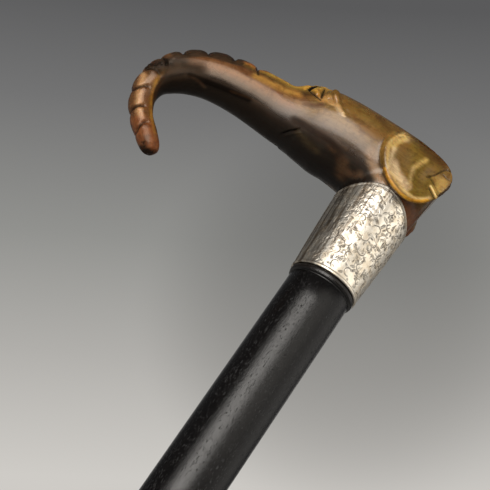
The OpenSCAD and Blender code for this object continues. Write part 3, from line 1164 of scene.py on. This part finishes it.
    def _tints(self) -> list[Tint]:
        """The horn's tones on the head, the crest, the trunk and the ear, with painted highlights, shade
        and reflections among them.

        Returns:
            The tones, the lowest first.
        """
        honey, umber = (186, 144, 52), (46, 33, 22)
        head = [
            # painted shade: the cheek under the flank is darkened and dulled
            Tint([(-40.4, 46.8), (-38.0, 47.3), (-33.6, 47.6), (-26.4, 48.0), (-22.4, 46.5),
                  (-19.6, 44.8)], 2.0, 3.2, (38, 23, 10), dull=0.7),
            Tint([(-18.2, 44.0), (-17.0, 40.6), (-16.2, 38.0)], 1.6, 4.0, (80, 58, 38), 0.9, 0.3),
            Tint([(-36.5, 43.7), (-33.2, 42.4), (-28.1, 41.6)], 1.2, 3.0, (56, 45, 27), 0.8, 0.4),
            Tint([(-25.5, 45.9), (-23.0, 45.4)], 0.5, 1.8, (74, 48, 22), 0.6),
            # painted highlight: a pale band down the flank towards the collar
            Tint([(-12.0, 53.4), (-9.6, 50.4), (-5.6, 47.6), (-3.0, 45.6)], 1.9, 3.0, (146, 118, 88)),
            Tint([(-38.3, 35.6), (-30.7, 34.8), (-23.2, 34.9), (-16.7, 33.7)], 3.5, 4, (20, 15, 12),
                 dull=0.4),
            Tint([(-14.6, 41.4), (-12.6, 42.0), (-11.0, 43.6)], 1.4, 2.4, (82, 60, 42), 0.8, 0.6),
            Tint([(-37.6, 60.6), (-35.4, 62.4), (-33.4, 63.6)], 1.4, 1.6, (176, 134, 76)),
            Tint([(-34.4, 61.4), (-31.6, 61.6), (-28.6, 60.4)], 0.8, 1.4, (188, 150, 96)),
            # painted highlight: a glint on the end of the temple ridge
            Tint([(-28.4, 60.4), (-27.4, 59.9)], 0.3, 0.8, (232, 196, 136)),
            Tint([(-40.4, 49.2), (-31.4, 49.6), (-25.0, 49.9), (-20.0, 49.0)], 0.5, 2.0, (84, 64, 44),
                 0.5, 0.45),
            Tint([(-17.0, 67.2), (-11.3, 66.0), (-7.4, 66.6)], 1.2, 2.6, (88, 62, 24), 0.8, 0.3),
            Tint([(-41.6, 62.4), (-40.2, 61.8), (-39.2, 61.2)], 0.7, 0.8, (176, 128, 56)),
            Tint([(-31.6, 66.0), (-25.6, 62.6), (-20.0, 60.4), (-13.0, 60.2)], 1.6, 2.8, (118, 84, 32),
                 0.8, 0.4),
            Tint([(-43.2, -5.0, 59.2), (-42.0, -5.2, 59.8), (-40.9, -4.4, 61.3), (-39.7, -4.7, 61.8),
                  (-38.4, -5.2, 62.0)], 0.9, 0.6, (13, 9, 5), dull=0.8),
            Tint([(-38.0, -5.4, 61.9), (-36.2, -7.0, 61.0), (-34.4, -12.0, 58.6)], 0.6, 0.8,
                 (58, 42, 20), 0.8, 0.6),
        ]
        crest = [
            Tint([(-66, -1, 56), (-56, -1, 57), (-47, -1, 58), (-41, -2, 59)], 9.0, 5, honey),
            Tint([(-61.0, 53.0), (-52.0, 54.6), (-45.0, 56.6)], 1.2, 2.4, (176, 132, 62), 0.8),
            Tint([(-48.5, 52.8), (-42.8, 53.8), (-39.2, 55.2)], 0.7, 2.4, (146, 108, 54), 0.6, 0.65),
            Tint([(-41.0, 55.0), (-38.0, 56.8), (-36.2, 58.6)], 0.8, 3.0, (78, 44, 29), 0.85, 0.7),
            Tint([(-44.6, 60.2), (-43.8, 62.6), (-42.6, 64.6)], 0.5, 0.8, (206, 156, 60)),
        ]
        trunk = [
            Tint([(-67, -1, 54), (-62.5, -1, 55.4)], 8.4, 2.5, (140, 88, 38)),
            Tint([(-68.5, 54.0), (-72.2, 52.6), (-76.6, 50.9), (-81.8, 47.9), (-87.4, 41.6)], 1.5, 0.9,
                 (50, 35, 21), 0.9, 0.7),
            Tint([(-62.4, 56.0), (-60.8, 54.2)], 0.5, 0.8, (20, 13, 8), 0.9),
            Tint([(-90, -1, 42), (-80, -1, 50), (-71, -1, 53)], 8.0, 3, umber, dull=0.5),
            # painted reflection: a near black streak under the trunk's highlight, for the dark room it
            # reflects
            Tint([(-79.0, 38.0), (-74.6, 39.2), (-68.2, 41.0), (-61.9, 42.4), (-57.9, 43.2)], 1.4, 1.8,
                 (6, 3, 2), dull=1.0),
            Tint([(-64.5, 42.0), (-58.0, 44.0), (-50.0, 45.0)], 0.2, 1.4, (70, 46, 24), 0.5),
            # painted reflection: a brown band below the dark streak near the bend
            Tint([(-80.5, 37.0), (-76.5, 38.0), (-72.5, 37.4)], 0.5, 1.2, (70, 52, 38), 0.6),
            Tint([(-92, -3, 34), (-94, -2, 27), (-91, -2, 19), (-85, -2, 11), (-78, -1, 6)],
                 6.8, 3, (104, 70, 40)),
            # painted highlight: the lit middles of the turned-down trunk's ridges
            Tint([(-91.8, 27.5), (-88.4, 20.4), (-84.4, 14.8), (-78.4, 10.2)], 1.1, 1.8,
                 (178, 136, 94)),
            Tint([(-87.6, 34.0), (-87.2, 30.0), (-86.5, 27.4), (-85.2, 24.3), (-83.4, 21.0),
                  (-81.1, 17.7), (-78.6, 14.9), (-75.6, 12.0)], 0.7, 1.5, (158, 114, 42)),
            Tint([(-85.8, 31.0), (-85.2, 26.4), (-83.6, 22.6), (-80.8, 18.6), (-78.2, 15.6),
                  (-75.4, 12.6)], 0.6, 1.0, (54, 34, 16), dull=0.7),
            Tint([(-90.8, 35.4), (-87.4, 39.0), (-84.0, 41.4)], 1.4, 2.6, (48, 38, 31), 0.9, 0.6),
            Tint([(-88.0, 33.0), (-84.6, 38.6), (-80.8, 41.2), (-78.4, 42.4)], 2.6, 6.0, (44, 34, 24),
                 0.95, 0.95),
            Tint([(-82.5, 49.4), (-86.0, 46.2), (-88.8, 42.4)], 1.6, 1.4, (56, 41, 27), 0.9, 0.5),
            Tint([(-92.6, 31.2), (-90.0, 34.6), (-87.2, 37.8)], 1.5, 1.8, (34, 25, 17), 0.85, 0.6),
            Tint([(-80.0, -1, 8.0), (-76.5, -1, 5.5), (-73.5, -1, 4.5)], 5.2, 3, (126, 76, 42),
                 dull=0.35),
            Tint([(-76.8, 8.4), (-75.4, 6.8)], 1.0, 1.6, (74, 40, 20), 0.8),
            Tint([(-75.2, 4.0), (-73.4, 4.2), (-72.0, 4.8)], 1.7, 2.2, (42, 25, 14), 0.95, 0.85),
            Tint([(-73.4, 8.6), (-72.0, 5.6)], 0.6, 1.0, (112, 62, 30), 0.8),
        ]
        # painted shade under each notch of the turned-down trunk
        for x, up in ((-90.6, 22.0), (-86.6, 16.4), (-80.8, 11.2)):
            trunk.append(Tint([(x - 0.6, up - 2.4), (x + 0.2, up), (x + 2.6, up + 1.7)], 0.5, 1.1,
                              (92, 50, 18), 0.8))
        ear = [
            Tint([(0.5, -11.5, 63.5), (6.0, -11.5, 62.5), (12.0, -10.0, 60.0)], 3.0, 6.0, (70, 51, 25),
                 0.8, 0.4),
            Tint([(4, 63), (4, 56), (8, 54)], 8.5, 4, (112, 89, 32), dull=0.8),
            Tint([(-4.6, 65.4), (-3.0, 61.0), (-1.6, 57.0), (0.6, 54.4)], 2.0, 2.8, (112, 84, 36)),
            Tint([(0.0, 69.4), (5.0, 67.4), (11.0, 66.6)], 2.2, 4.5, (78, 55, 27), 0.95, 1.0),
            Tint([(-1.5, 62.0), (1.0, 57.0)], 1.5, 3.5, (112, 88, 42), 0.8, 0.6),
            Tint([(9.0, 62.5), (7.7, 57.0)], 1.5, 3.4, (114, 88, 44), 0.8, 0.7),
            Tint([(-6.6, 67.4), (-8.2, 63.0), (-8.0, 59.2), (-6.6, 56.0), (-4.4, 52.7), (-1.7, 50.7),
                  (1.6, 49.3), (5.0, 48.2), (8.6, 47.9), (11.4, 49.2), (13.6, 51.4)], 0.6, 1.5,
                 (206, 174, 112)),
            Tint([(-7.6, 60.8), (-7.2, 64.2), (-5.6, 66.8)], 1.6, 2.2, (208, 176, 104), 0.9),
            # painted highlights: the lit lower band of the rim and the dish's lower corner
            Tint([(-3.6, 55.6), (-1.0, 53.0), (2.2, 51.5), (4.8, 50.6)], 1.3, 2.4, (208, 182, 142),
                 0.85),
            Tint([(-6.4, 60.5), (-5.9, 57.9), (-4.1, 53.6), (-1.6, 51.7), (1.8, 50.5), (5.0, 49.4)],
                 0.6, 1.9, (216, 190, 146), 0.85),
            # painted highlights along the fold in the dish
            Tint([(5.2, 63.8), (4.3, 61.6), (3.6, 59.6)], 0.6, 2.4, (216, 182, 106), 0.8),
            Tint([(3.1, 58.2), (3.8, 55.6), (4.6, 53.0), (5.8, 50.4)], 0.5, 1.9, (196, 166, 108), 0.75),
            Tint([(12.0, 60.0), (14.6, 59.7), (14.4, 56.6)], 1.6, 2.2, (170, 136, 68), dull=0.3),
            Tint([(10.6, 60.4), (12.2, 61.6)], 1.0, 2.2, (112, 84, 42), 0.75, 0.5),
            Tint([(11.5, 55.9), (13.4, 54.7), (15.6, 53.0)], 0.35, 0.6, (236, 200, 132)),
            Tint([(17.4, 61.0), (17.2, 57.6), (16.0, 54.6)], 0.5, 0.9, (92, 66, 38)),
            Tint([(-9.4, 66.0), (-10.3, 61.0), (-9.7, 57.4), (-8.0, 54.3), (-5.8, 51.5), (-2.8, 48.9),
                  (1.0, 46.9)], 0.7, 1.0, (138, 106, 48)),
            # painted shade: a thin dark line under the ear's outer edge, where it stands out from the head
            Tint([(-11.4, 62.0), (-10.9, 57.2), (-9.1, 54.0), (-6.8, 51.0), (-3.8, 48.4), (0.6, 46.2)],
                 0.15, 0.5, (58, 40, 20), 0.8),
        ]
        return head + crest + trunk + ear

    def _store(self, mesh: bpy.types.Mesh, surface: Surface) -> None:
        """Keeps tones, the hollows' soiling and painted shade, and growth direction on the mesh for the
        material.

        Args:
            mesh: The handle's mesh.
            surface: The carving.
        """
        along, _, height = self._run(surface.points)
        store(mesh, "tone", np.c_[surface.tone, np.ones(len(along))])
        store(mesh, "dirt_and_shade", np.clip(surface.dirt_and_shade, 0, 1))
        store(mesh, "dull", np.clip(surface.dull, 0, 1))
        store(mesh, "grain", np.c_[along, surface.points[:, 1], height])


@dataclass
class Engraving:
    """Scrolls, leaves and shading cuts over a flat sheet that wraps round the collar."""

    round_length: float
    low: float
    high: float
    pitch: float = 5.4  # from scroll to scroll
    width: float = 0.3  # of a cut
    cell: float = 0.12  # of the sheet
    margin: float = 2.0  # of the sheet below low and above high
    stray: float = 0.14  # how far a scroll may lie from its place, in pitches
    leaf_room: float = 8.0  # square millimetres of face to each loose leaf
    hatch_room: float = 7.0  # and to each group of shading cuts
    seed: int = 11

    def strokes(self) -> list[tuple[np.ndarray, float]]:
        """Scrolls in staggered rows, with leaves and shading cuts scattered between them.

        Returns:
            The cuts, as lines on the sheet with their share of the full depth.
        """
        rng = np.random.default_rng(self.seed)
        made: list[tuple[np.ndarray, float]] = []
        tall = self.high - self.low
        columns = round(self.round_length / self.pitch)
        rows = round(tall / (0.86 * self.pitch))  # closer than the columns, as they are staggered
        for row in range(rows):
            for column in range(columns):
                shift = 0.5 * (row % 2) + rng.uniform(-self.stray, self.stray)
                lift = 0.5 + rng.uniform(-self.stray, self.stray)
                made += self._scroll(rng, np.array([(column + shift) * self.round_length / columns,
                                                    self.low + (row + lift) * tall / rows]))
        for _ in range(int(self.round_length * tall / self.leaf_room)):
            start = self._anywhere(rng)
            made.append((self._leaf(start, rng.uniform(0, 6.3), rng.uniform(1.2, 2.8), rng.normal(0, 0.7)),
                         rng.uniform(0.4, 1.0)))
        for _ in range(int(self.round_length * tall / self.hatch_room)):
            start = self._anywhere(rng)
            heading = rng.normal(0.9, 0.9)
            aside = 0.5 * np.array([-math.sin(heading), math.cos(heading)])
            for number in range(rng.integers(2, 5)):
                made.append((self._leaf(start + number * aside, heading, rng.uniform(0.6, 1.3), 0.3),
                             rng.uniform(0.4, 0.9)))
        return made

    def _anywhere(self, rng: np.random.Generator) -> np.ndarray:
        """A chance place on the face."""
        return rng.uniform((0, self.low), (self.round_length, self.high))

    def _scroll(self, rng: np.random.Generator, middle: np.ndarray) -> list[tuple[np.ndarray, float]]:
        """One scroll with the leaves that spring from it.

        Args:
            rng: The source of chance.
            middle: The scroll's middle on the sheet.

        Returns:
            Its cuts.
        """
        way = rng.choice((-1, 1))
        start = rng.uniform(0, 2 * math.pi)
        size = self.pitch * rng.uniform(0.26, 0.40)
        sweep = rng.uniform(0.8, 1.5) * math.pi
        turn = np.linspace(0, 1, 14)
        angle = start + way * sweep * turn
        radius = size * (1 - 0.6 * turn)
        made = [(middle + np.stack([np.cos(angle), np.sin(angle)], 1) * radius[:, None], 1.0)]
        for share in np.linspace(0.0, 0.85, rng.integers(4, 7)):
            a = start + way * sweep * share
            root = middle + np.array([math.cos(a), math.sin(a)]) * size * (1 - 0.6 * share) * 1.08
            heading = a + way * rng.uniform(-0.2, 1.2)
            length = rng.uniform(1.2, 3.0)
            for bend in (-0.9, rng.uniform(0.3, 1.2)):
                made.append((self._leaf(root, heading - bend / 2, length, bend), rng.uniform(0.5, 1.0)))
            vein = root + 0.3 * length * np.array([math.cos(heading), math.sin(heading)])
            made.append((self._leaf(vein, heading, 0.4 * length, way * 0.3), rng.uniform(0.3, 0.7)))
        return made

    @staticmethod
    def _leaf(root: np.ndarray, heading: float, length: float, bend: float) -> np.ndarray:
        """A short bent cut.

        Args:
            root: Where it starts.
            heading: Its first direction, in radians.
            length: Its length.
            bend: How far it turns over its length, in radians.

        Returns:
            The cut's line.
        """
        t = np.linspace(0, 1, 6)
        course = heading + bend * t
        steps = np.stack([np.cos(course), np.sin(course)], 1) * length / 6
        return root + np.cumsum(steps, 0)

    def sheet(self) -> np.ndarray:
        """Cuts every stroke into the flat sheet.

        Returns:
            Share of the full depth, as rows up and columns round.
        """
        wide = round(self.round_length / self.cell)
        tall = round((self.high - self.low + 2 * self.margin) / self.cell)
        depth = np.zeros((tall, wide))
        step = self.round_length / wide
        foot = self.low - self.margin
        for line, share in self.strokes():
            low = np.floor((line.min(0) - self.width - (0, foot)) / step).astype(int)
            high = np.ceil((line.max(0) + self.width - (0, foot)) / step).astype(int)
            rows = np.arange(max(low[1], 0), min(high[1], tall - 1) + 1)
            columns = np.arange(low[0], high[0] + 1)
            if len(rows) == 0:
                continue
            u, v = np.meshgrid(columns * step, rows * step + foot)
            far, along = distance_to(np.stack([u.ravel(), v.ravel()], 1), line)
            swell = 0.35 + 0.65 * np.sin(math.pi * along) ** 0.5  # deepest half way along
            cut = share * np.clip(1.25 - far / (self.width / 2), 0, 1) * swell
            block = np.ix_(rows, columns % wide)
            depth[block] = np.maximum(depth[block], cut.reshape(u.shape))
        return depth


@dataclass
class Collar:
    """Silver sleeve: rolled foot, engraved face and a plain lip along the saddle-cut top."""

    foot_radius: float = 12.0
    top_radius: float = 14.1
    wall: float = 0.6
    flare: float = 0.48  # how much faster than evenly it widens at its foot
    short: float = 31.0  # height on the mid plane
    saddle: float = 19.5  # radius of the cut across the top
    foot_out: float = 0.2  # how far the rolled foot stands out
    foot_middle: float = 0.45  # the roll's height, and half its thickness
    foot_half: float = 0.5
    steps: int = 520
    rows: int = 180
    foot_rows: int = 34  # of them in the lowest 5 mm, where the foot is rolled
    middle_radius: float = 13.0  # round which the engraving's sheet wraps
    plain: float = 1.6  # height of the foot below the engraving
    bend_from: float = 24.0  # height from which the rows rise with the saddle's edge
    cut_depth: float = 0.14
    lip_out: float = 0.09  # how far the lip stands out
    groove: float = 0.95  # distance of the line under the lip from the top edge
    groove_depth: float = 0.14
    finish: Silver = field(default_factory=Silver)

    @property
    def tall(self) -> float:
        """Height of the collar at its sides."""
        return self.short + self.saddle - math.sqrt(self.saddle ** 2 - self.top_radius ** 2)

    def radius_at(self, up: np.ndarray | float) -> np.ndarray | float:
        """Outer radius at a height."""
        share = up / self.tall * (1 + self.flare * (1 - up / self.tall))
        return self.foot_radius + (self.top_radius - self.foot_radius) * share

    def _foot(self, up: float) -> float:
        """How far the rolled foot stands out at a height."""
        return self.foot_out * math.sqrt(max(0, 1 - ((up - self.foot_middle) / self.foot_half) ** 2))

    def build(self) -> bpy.types.Object:
        """Turns, cuts and engraves the collar.

        Returns:
            The collar's object.
        """
        heights = np.concatenate([np.linspace(0, 5, self.foot_rows),
                                  np.linspace(5.2, self.tall, self.rows - self.foot_rows)])
        outer = [(float(self.radius_at(z)) + self._foot(float(z)), float(z)) for z in heights]
        inner = [(float(self.radius_at(z)) - self.wall, z) for z in (self.tall, 30.0, 20.0, 10.0, 0.0)]
        piece = turned("engraved_collar", outer + inner, self.steps)
        mesh = piece.data
        p = rows_of(mesh.vertices, "co") / MM
        radius = np.hypot(p[:, 0], p[:, 1])
        angle = np.arctan2(p[:, 1], p[:, 0])
        up = p[:, 2].copy()
        outside = radius > self.radius_at(up) - self.wall / 2
        side = radius * np.sin(angle)
        widest = self.top_radius - 0.05
        top = self.short + self.saddle - np.sqrt(self.saddle ** 2 - np.clip(side, -widest, widest) ** 2)
        raised = up > self.bend_from
        stretch = (top[raised] - self.bend_from) / (self.tall - self.bend_from)
        up[raised] = self.bend_from + (up[raised] - self.bend_from) * stretch
        radius = self.radius_at(up) + (radius - self.radius_at(p[:, 2]))
        below_top = top - up
        engraving = Engraving(2 * math.pi * self.middle_radius, self.plain, self.tall)
        depth = engraving.sheet()
        column = (angle % (2 * math.pi)) / (2 * math.pi) * depth.shape[1]
        row = (up - engraving.low + engraving.margin) / engraving.cell
        cut = self._sample(depth, row, column)
        face = outside * ease(self.plain - 0.5, self.plain, up) * ease(0.75, 1.1, below_top)
        lip = outside * ease(0.85, 0.55, below_top)
        radius += self.lip_out * lip - self.cut_depth * cut * face
        radius -= self.groove_depth * outside * np.exp(-((below_top - self.groove) / 0.16) ** 2)
        tarnish = face * np.clip(cut * 1.25, 0, 1) * (0.82 + 0.1 * np.sin(angle + 2.2))
        for darker in (0.75 * outside * np.exp(-((below_top - self.groove) / 0.2) ** 2),
                       self._blots(angle, up) * face,
                       0.3 * outside * np.exp(-((up - 1.05) / 0.15) ** 2),  # above the rolled foot
                       0.5 * lip):
            tarnish = np.maximum(tarnish, darker)
        move_points(mesh, np.stack([radius * np.cos(angle), radius * np.sin(angle), up + RIM], 1))
        store(mesh, "tarnish", np.clip(tarnish, 0, 1))
        settle(piece, "collar", self.finish.material())
        return piece

    @staticmethod
    def _sample(sheet: np.ndarray, row: np.ndarray, column: np.ndarray) -> np.ndarray:
        """Values of the sheet between its cells.

        Args:
            sheet: The sheet; its columns wrap round.
            row: Where to read, in rows.
            column: Where to read, in columns.

        Returns:
            The values.
        """
        row = np.clip(row, 0, sheet.shape[0] - 1.001)
        r, c = np.floor(row).astype(int), np.floor(column).astype(int)
        fr, fc = row - r, column - c
        wide = sheet.shape[1]
        low = sheet[r, c % wide] * (1 - fc) + sheet[r, (c + 1) % wide] * fc
        high = sheet[r + 1, c % wide] * (1 - fc) + sheet[r + 1, (c + 1) % wide] * fc
        return low * (1 - fr) + high * fr

    def _blots(self, angle: np.ndarray, up: np.ndarray) -> np.ndarray:
        """Dark oxidised spots on the side that turns away to the right.

        Args:
            angle: Angle round the collar.
            up: Height.

        Returns:
            How dark each place is.
        """
        dark = np.zeros(len(up))
        for turn, height, size in ((-42, 33.0, 0.9), (-36, 31.0, 1.3), (-31, 28.4, 1.0), (-27, 25.0, 0.9),
                                   (-64, 29.0, 0.6), (-22, 20.0, 0.8), (140, 26.0, 1.0), (60, 30.0, 1.1)):
            out = (np.degrees(angle) - turn + 180) % 360 - 180
            far = np.hypot(np.radians(out) * self.middle_radius, up - height)
            dark = np.maximum(dark, 0.85 * ease(size, 0.35 * size, far))
        return dark


@dataclass
class Shaft:
    """Ebonised stick with a turned bead under the collar, tapering to the ferrule."""

    top_radius: float = 11.05
    foot_radius: float = 7.75
    bead_radius: float = 11.85
    bead: float = 2.2  # its height
    bulge: float = 0.55  # how far the bead's round stands out
    neck: float = 0.5  # height of the hollow under the bead
    tenon_radius: float = 10.6  # the end that goes up into the collar
    tenon: float = 2.0
    ferrule_top: float = 38.0  # above the floor, like every height of the ferrule
    sunk: float = 4.0  # how far the foot goes down into the ferrule
    finish: EbonisedWood = field(default_factory=EbonisedWood)

    def build(self) -> bpy.types.Object:
        """Turns the shaft.

        Returns:
            The shaft's object.
        """
        below = RIM - self.bead
        bead = arc((self.bead_radius - self.bulge, RIM - self.bead / 2), self.bulge, self.bead / 2,
                   np.linspace(-90, 90, 13))
        start = below - self.neck
        taper = [(self.top_radius + (self.foot_radius - self.top_radius) * share,
                  start + (self.ferrule_top - start) * share) for share in np.linspace(1, 0, 90)]
        peg = self.foot_radius - 0.6
        outline = [(0, self.ferrule_top - self.sunk), (peg, self.ferrule_top - self.sunk),
                   (peg, self.ferrule_top - 0.1), *taper,
                   (self.top_radius - 0.12, below - self.neck / 2), (self.top_radius + 0.05, below),
                   *bead, (self.bead_radius - 1.2, RIM), (self.tenon_radius, RIM + self.tenon),
                   (0, RIM + self.tenon)]
        piece = turned("turned_shaft", outline, 128)
        p = rows_of(piece.data.vertices, "co") / MM
        crest = (np.hypot(p[:, 0], p[:, 1]) > self.bead_radius - 0.08) & (p[:, 2] > below)
        store(piece.data, "wear", 0.05 * crest)
        settle(piece, "shaft", self.finish.material())
        return piece


@dataclass
class Ferrule:
    """Brass ferrule with a turned groove and bead, two brads and a steel wearing tip."""

    top: float = 38.0
    radius: float = 8.0
    wall: float = 0.8
    groove: float = 31.2  # its height
    step: float = 0.12  # how far the band above the groove stands out
    tip_head: float = 3.5  # height of the steel below the brass
    brad_from_top: float = 4.15
    steps: int = 96

    def build(self) -> list[bpy.types.Object]:
        """Turns the barrel, the tip and both brads.

        Returns:
            The pieces.
        """
        brass = BRASS.material()
        bead = arc((self.radius + self.step, self.top - 1.15), 0.28, 0.85, range(-75, 80, 15))
        r, g = self.radius, self.groove
        barrel = turned("ferrule_barrel", [
            (r - self.wall, self.tip_head), (r - 0.2, self.tip_head), (r - 0.06, self.tip_head + 0.06),
            (r, self.tip_head + 0.2), (r, 12), (r, 22), (r, g - 0.05), (r - 0.12, g + 0.05),
            (r - 0.28, g + 0.3), (r - 0.12, g + 0.55), (r + self.step, g + 0.7),
            (r + self.step, self.top - 2.2), *bead, (r, self.top - 0.05), (r - 0.1, self.top),
            (r - self.wall, self.top)], self.steps)
        settle(barrel, "ferrule", brass)
        bevel = barrel.modifiers.new("soft edges", "BEVEL")
        bevel.width = 0.05 * MM
        bevel.segments = 2
        worn = arc((r - 1.2, 0.7), 0.7, 0.7, range(-90, 1, 15))
        tip = turned("steel_tip", [
            (0, 0.25), (3.5, 0.1), *worn, (r - 0.32, 1.4), (r - 0.2, 1.8), (r - 0.2, self.tip_head),
            (r - self.wall - 0.02, self.tip_head), (r - self.wall - 0.02, 6), (0, 6)], self.steps)
        settle(tip, "ferrule_tip", STEEL.material())
        pieces = [barrel, tip]
        nail = [(0, -3.0), (0.8, -2.8), (0.8, 0.0), (1.35, 0.0),
                *arc((0, 0.06), 1.4, 0.54, range(0, 90, 12)), (0, 0.6)]
        for place, side in (("front", -1), ("back", 1)):
            brad = turned("brad_" + place, nail, 32, (side, 0, 0),
                          (side * (r + self.step), 0, self.top - self.brad_from_top))
            settle(brad, "ferrule_pin_" + place, brass)
            pieces.append(brad)
        return pieces


@dataclass(frozen=True)
class Lamp:
    """A soft rectangular lamp that faces the handle."""

    name: str
    turn: float  # degrees from the front (-Y) towards the head (+X)
    rise: float  # degrees above the handle
    size: Place  # width and height, in metres
    bright: float  # brightness of its face, where white paper is about 1
    colour: Colour
    away: float = 1.3  # metres from the handle
    only: tuple[str, ...] = ()  # the pieces that it lights, where it doesn't light them all
    aim: Place = (-30.0, 0.0, 45.0)  # the handle's middle: x, y, up
    spread: float = 110.0  # degrees

    def build(self) -> None:
        """Hangs the lamp."""
        lamp = bpy.data.lights.new(self.name, "AREA")
        lamp.shape = "RECTANGLE"
        lamp.size, lamp.size_y = self.size
        lamp.energy = self.bright * math.pi * self.size[0] * self.size[1]
        lamp.color = self.colour
        lamp.spread = math.radians(self.spread)
        holder = stand(self.name, lamp)
        turn, rise = math.radians(self.turn), math.radians(self.rise)
        flat = math.cos(rise)
        direction = Vector((math.sin(turn) * flat, -math.cos(turn) * flat, math.sin(rise)))
        holder.location = in_frame(self.aim) + direction * self.away
        holder.rotation_mode = "QUATERNION"
        holder.rotation_quaternion = direction.to_track_quat("Z", "Y")
        if self.only:
            lit = bpy.data.collections.new(self.name + "_lights")
            for name in self.only:
                lit.objects.link(bpy.data.objects[name])
            holder.light_linking.receiver_collection = lit


@dataclass
class Studio:
    """Pale floor, grey sweep behind the handle and soft lamps round the cane."""

    lamps: tuple[Lamp, ...] = (
        Lamp("key", -17, 1, (1.0, 1.3), 1.85, (1.0, 0.96, 0.91), away=1.2),
        Lamp("fill", 33, 24, (1.1, 0.75), 0.27, (1.0, 0.95, 0.87)),
        # a second fill leaves the dark shaft alone
        Lamp("head_fill", 33, 24, (1.1, 0.75), 0.32, (1.0, 0.95, 0.87),
             only=("carved_handle", "engraved_collar")),
        # this one is for the silver alone, from its right
        Lamp("sleeve_fill", 62, 24, (1.1, 0.9), 0.6, (1.0, 0.93, 0.82), only=("engraved_collar",)),
        Lamp("rear_fill", 92, 20, (1.6, 1.0), 0.18, (1.0, 0.96, 0.90)))
    ambient: float = 0.24
    behind: float = 0.6  # added from the back of the room, on matt faces only
    # the sweep's greys, from its pale foot up
    greys: tuple[tuple[float, Colour], ...] = (
        (0.034, (206, 203, 198)), (0.27, (176, 174, 170)), (0.5, (145, 145, 142)),
        (0.76, (115, 115, 115)), (0.97, (90, 90, 91)))
    floor_half: float = 9.0  # metres

    def build(self) -> None:
        """Sets the floor, the lamps and the world."""
        self._floor()
        for lamp in self.lamps:
            lamp.build()
        self._world()

    def _floor(self) -> None:
        """Lays a plain pale floor under the ferrule."""
        bm = bmesh.new()
        bmesh.ops.create_grid(bm, x_segments=8, y_segments=8, size=self.floor_half)
        floor = stand("floor", finished(bm, "floor"))
        g = Graph("floor")
        g.set(Base_Color=linear(196, 194, 190), Roughness=0.8)
        floor.data.materials.append(g.material)

    def _world(self) -> None:
        """A grey sweep from dark above to pale below, and an even dim light from all round."""
        world = bpy.data.worlds.new("studio")
        bpy.context.scene.world = world
        world.use_nodes = True
        world.node_tree.nodes.clear()
        g = Nodes(world.node_tree)
        in_view = g.span(self._lean(g, Vector(VIEW.ahead)), 0.87, 0.94)
        backdrop = g.add("Background", Color=g.mix(in_view, linear(74, 74, 75), self._sweep(g)))
        back = g.span(self._lean(g, Vector((0, 1, 0))), 0.1, 1.0)
        even = g.add("Background", Color=(1.0, 0.985, 0.96),
                     Strength=g.maths("MULTIPLY_ADD", back, self.behind, self.ambient))
        rays = g.add("LightPath").outputs
        shown = g.maths("MAXIMUM", rays["Is Camera Ray"], rays["Is Glossy Ray"])
        shown = g.maths("MAXIMUM", shown, rays["Is Transmission Ray"])
        choose = g.add("MixShader")
        for number, value in enumerate((shown, even.outputs[0], backdrop.outputs[0])):
            g.put(choose, number, value)
        g.add("OutputWorld", Surface=choose.outputs[0])

    def _sweep(self, g: Nodes) -> bpy.types.NodeSocket:
        """The grey sweep behind the handle, a little darker just right of and below its middle, where a
        soft shadow of the cane is painted.

        Args:
            g: The world's nodes.

        Returns:
            Its colour.
        """
        up, right, ahead = Vector(VIEW.up), Vector(VIEW.right), Vector(VIEW.ahead)
        sweep = g.add("ValToRGB")
        g.put(sweep, 0, g.span(self._lean(g, up + 0.075 * right), -0.25, 0.25, kind="LINEAR"))
        ramp = sweep.color_ramp
        while len(ramp.elements) < len(self.greys):
            ramp.elements.new(0.5)
        for element, (position, tone) in zip(ramp.elements, self.greys):
            element.position = position
            element.color = (*linear(*tone), 1)
        # painted shadow of the cane on the sweep
        middle = g.span(self._lean(g, ahead + 0.10 * right - 0.075 * up), 0.985, 1.0065)
        return g.mix(g.maths("MULTIPLY", middle, 0.30), sweep.outputs[0], (0.0, 0.0, 0.0))

    @staticmethod
    def _lean(g: Nodes, direction: Vector) -> bpy.types.NodeSocket:
        """How far each way out of the studio leans towards a direction.

        Args:
            g: The world's nodes.
            direction: The direction.

        Returns:
            The lean, from -1 to 1.
        """
        lean = g.add("VectorMath")
        lean.operation = "DOT_PRODUCT"
        g.put(lean, 0, g.add("TexCoord").outputs["Generated"])
        g.put(lean, 1, direction)
        return lean.outputs["Value"]


def dress_hidden() -> None:
    """Gives the frame's nodes their finishes; the stud and the pitch stay, the rest is replaced."""
    finishes = {"joint_stud": IRON, "collar_packing": PITCH, "handle": Horn(), "collar": Silver(),
                "shaft": EbonisedWood(), "ferrule": BRASS, "ferrule_tip": STEEL,
                "ferrule_pin_front": BRASS, "ferrule_pin_back": BRASS}
    for name, finish in finishes.items():
        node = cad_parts[name]
        node.data.materials.clear()
        node.data.materials.append(finish.material())


def main() -> None:
    """Builds the cane piece by piece, then the studio."""
    logging.basicConfig(level=logging.INFO, format="%(name)s: %(message)s")
    bpy.context.scene.view_settings.view_transform = "Standard"
    VIEW.build()
    dress_hidden()
    pieces = [Handle().build(), Collar().build(), Shaft().build(), *Ferrule().build()]
    for piece in pieces:
        log.info("%s: %d faces", piece.name, len(piece.data.polygons))
    Studio().build()


if __name__ == "__main__":
    main()
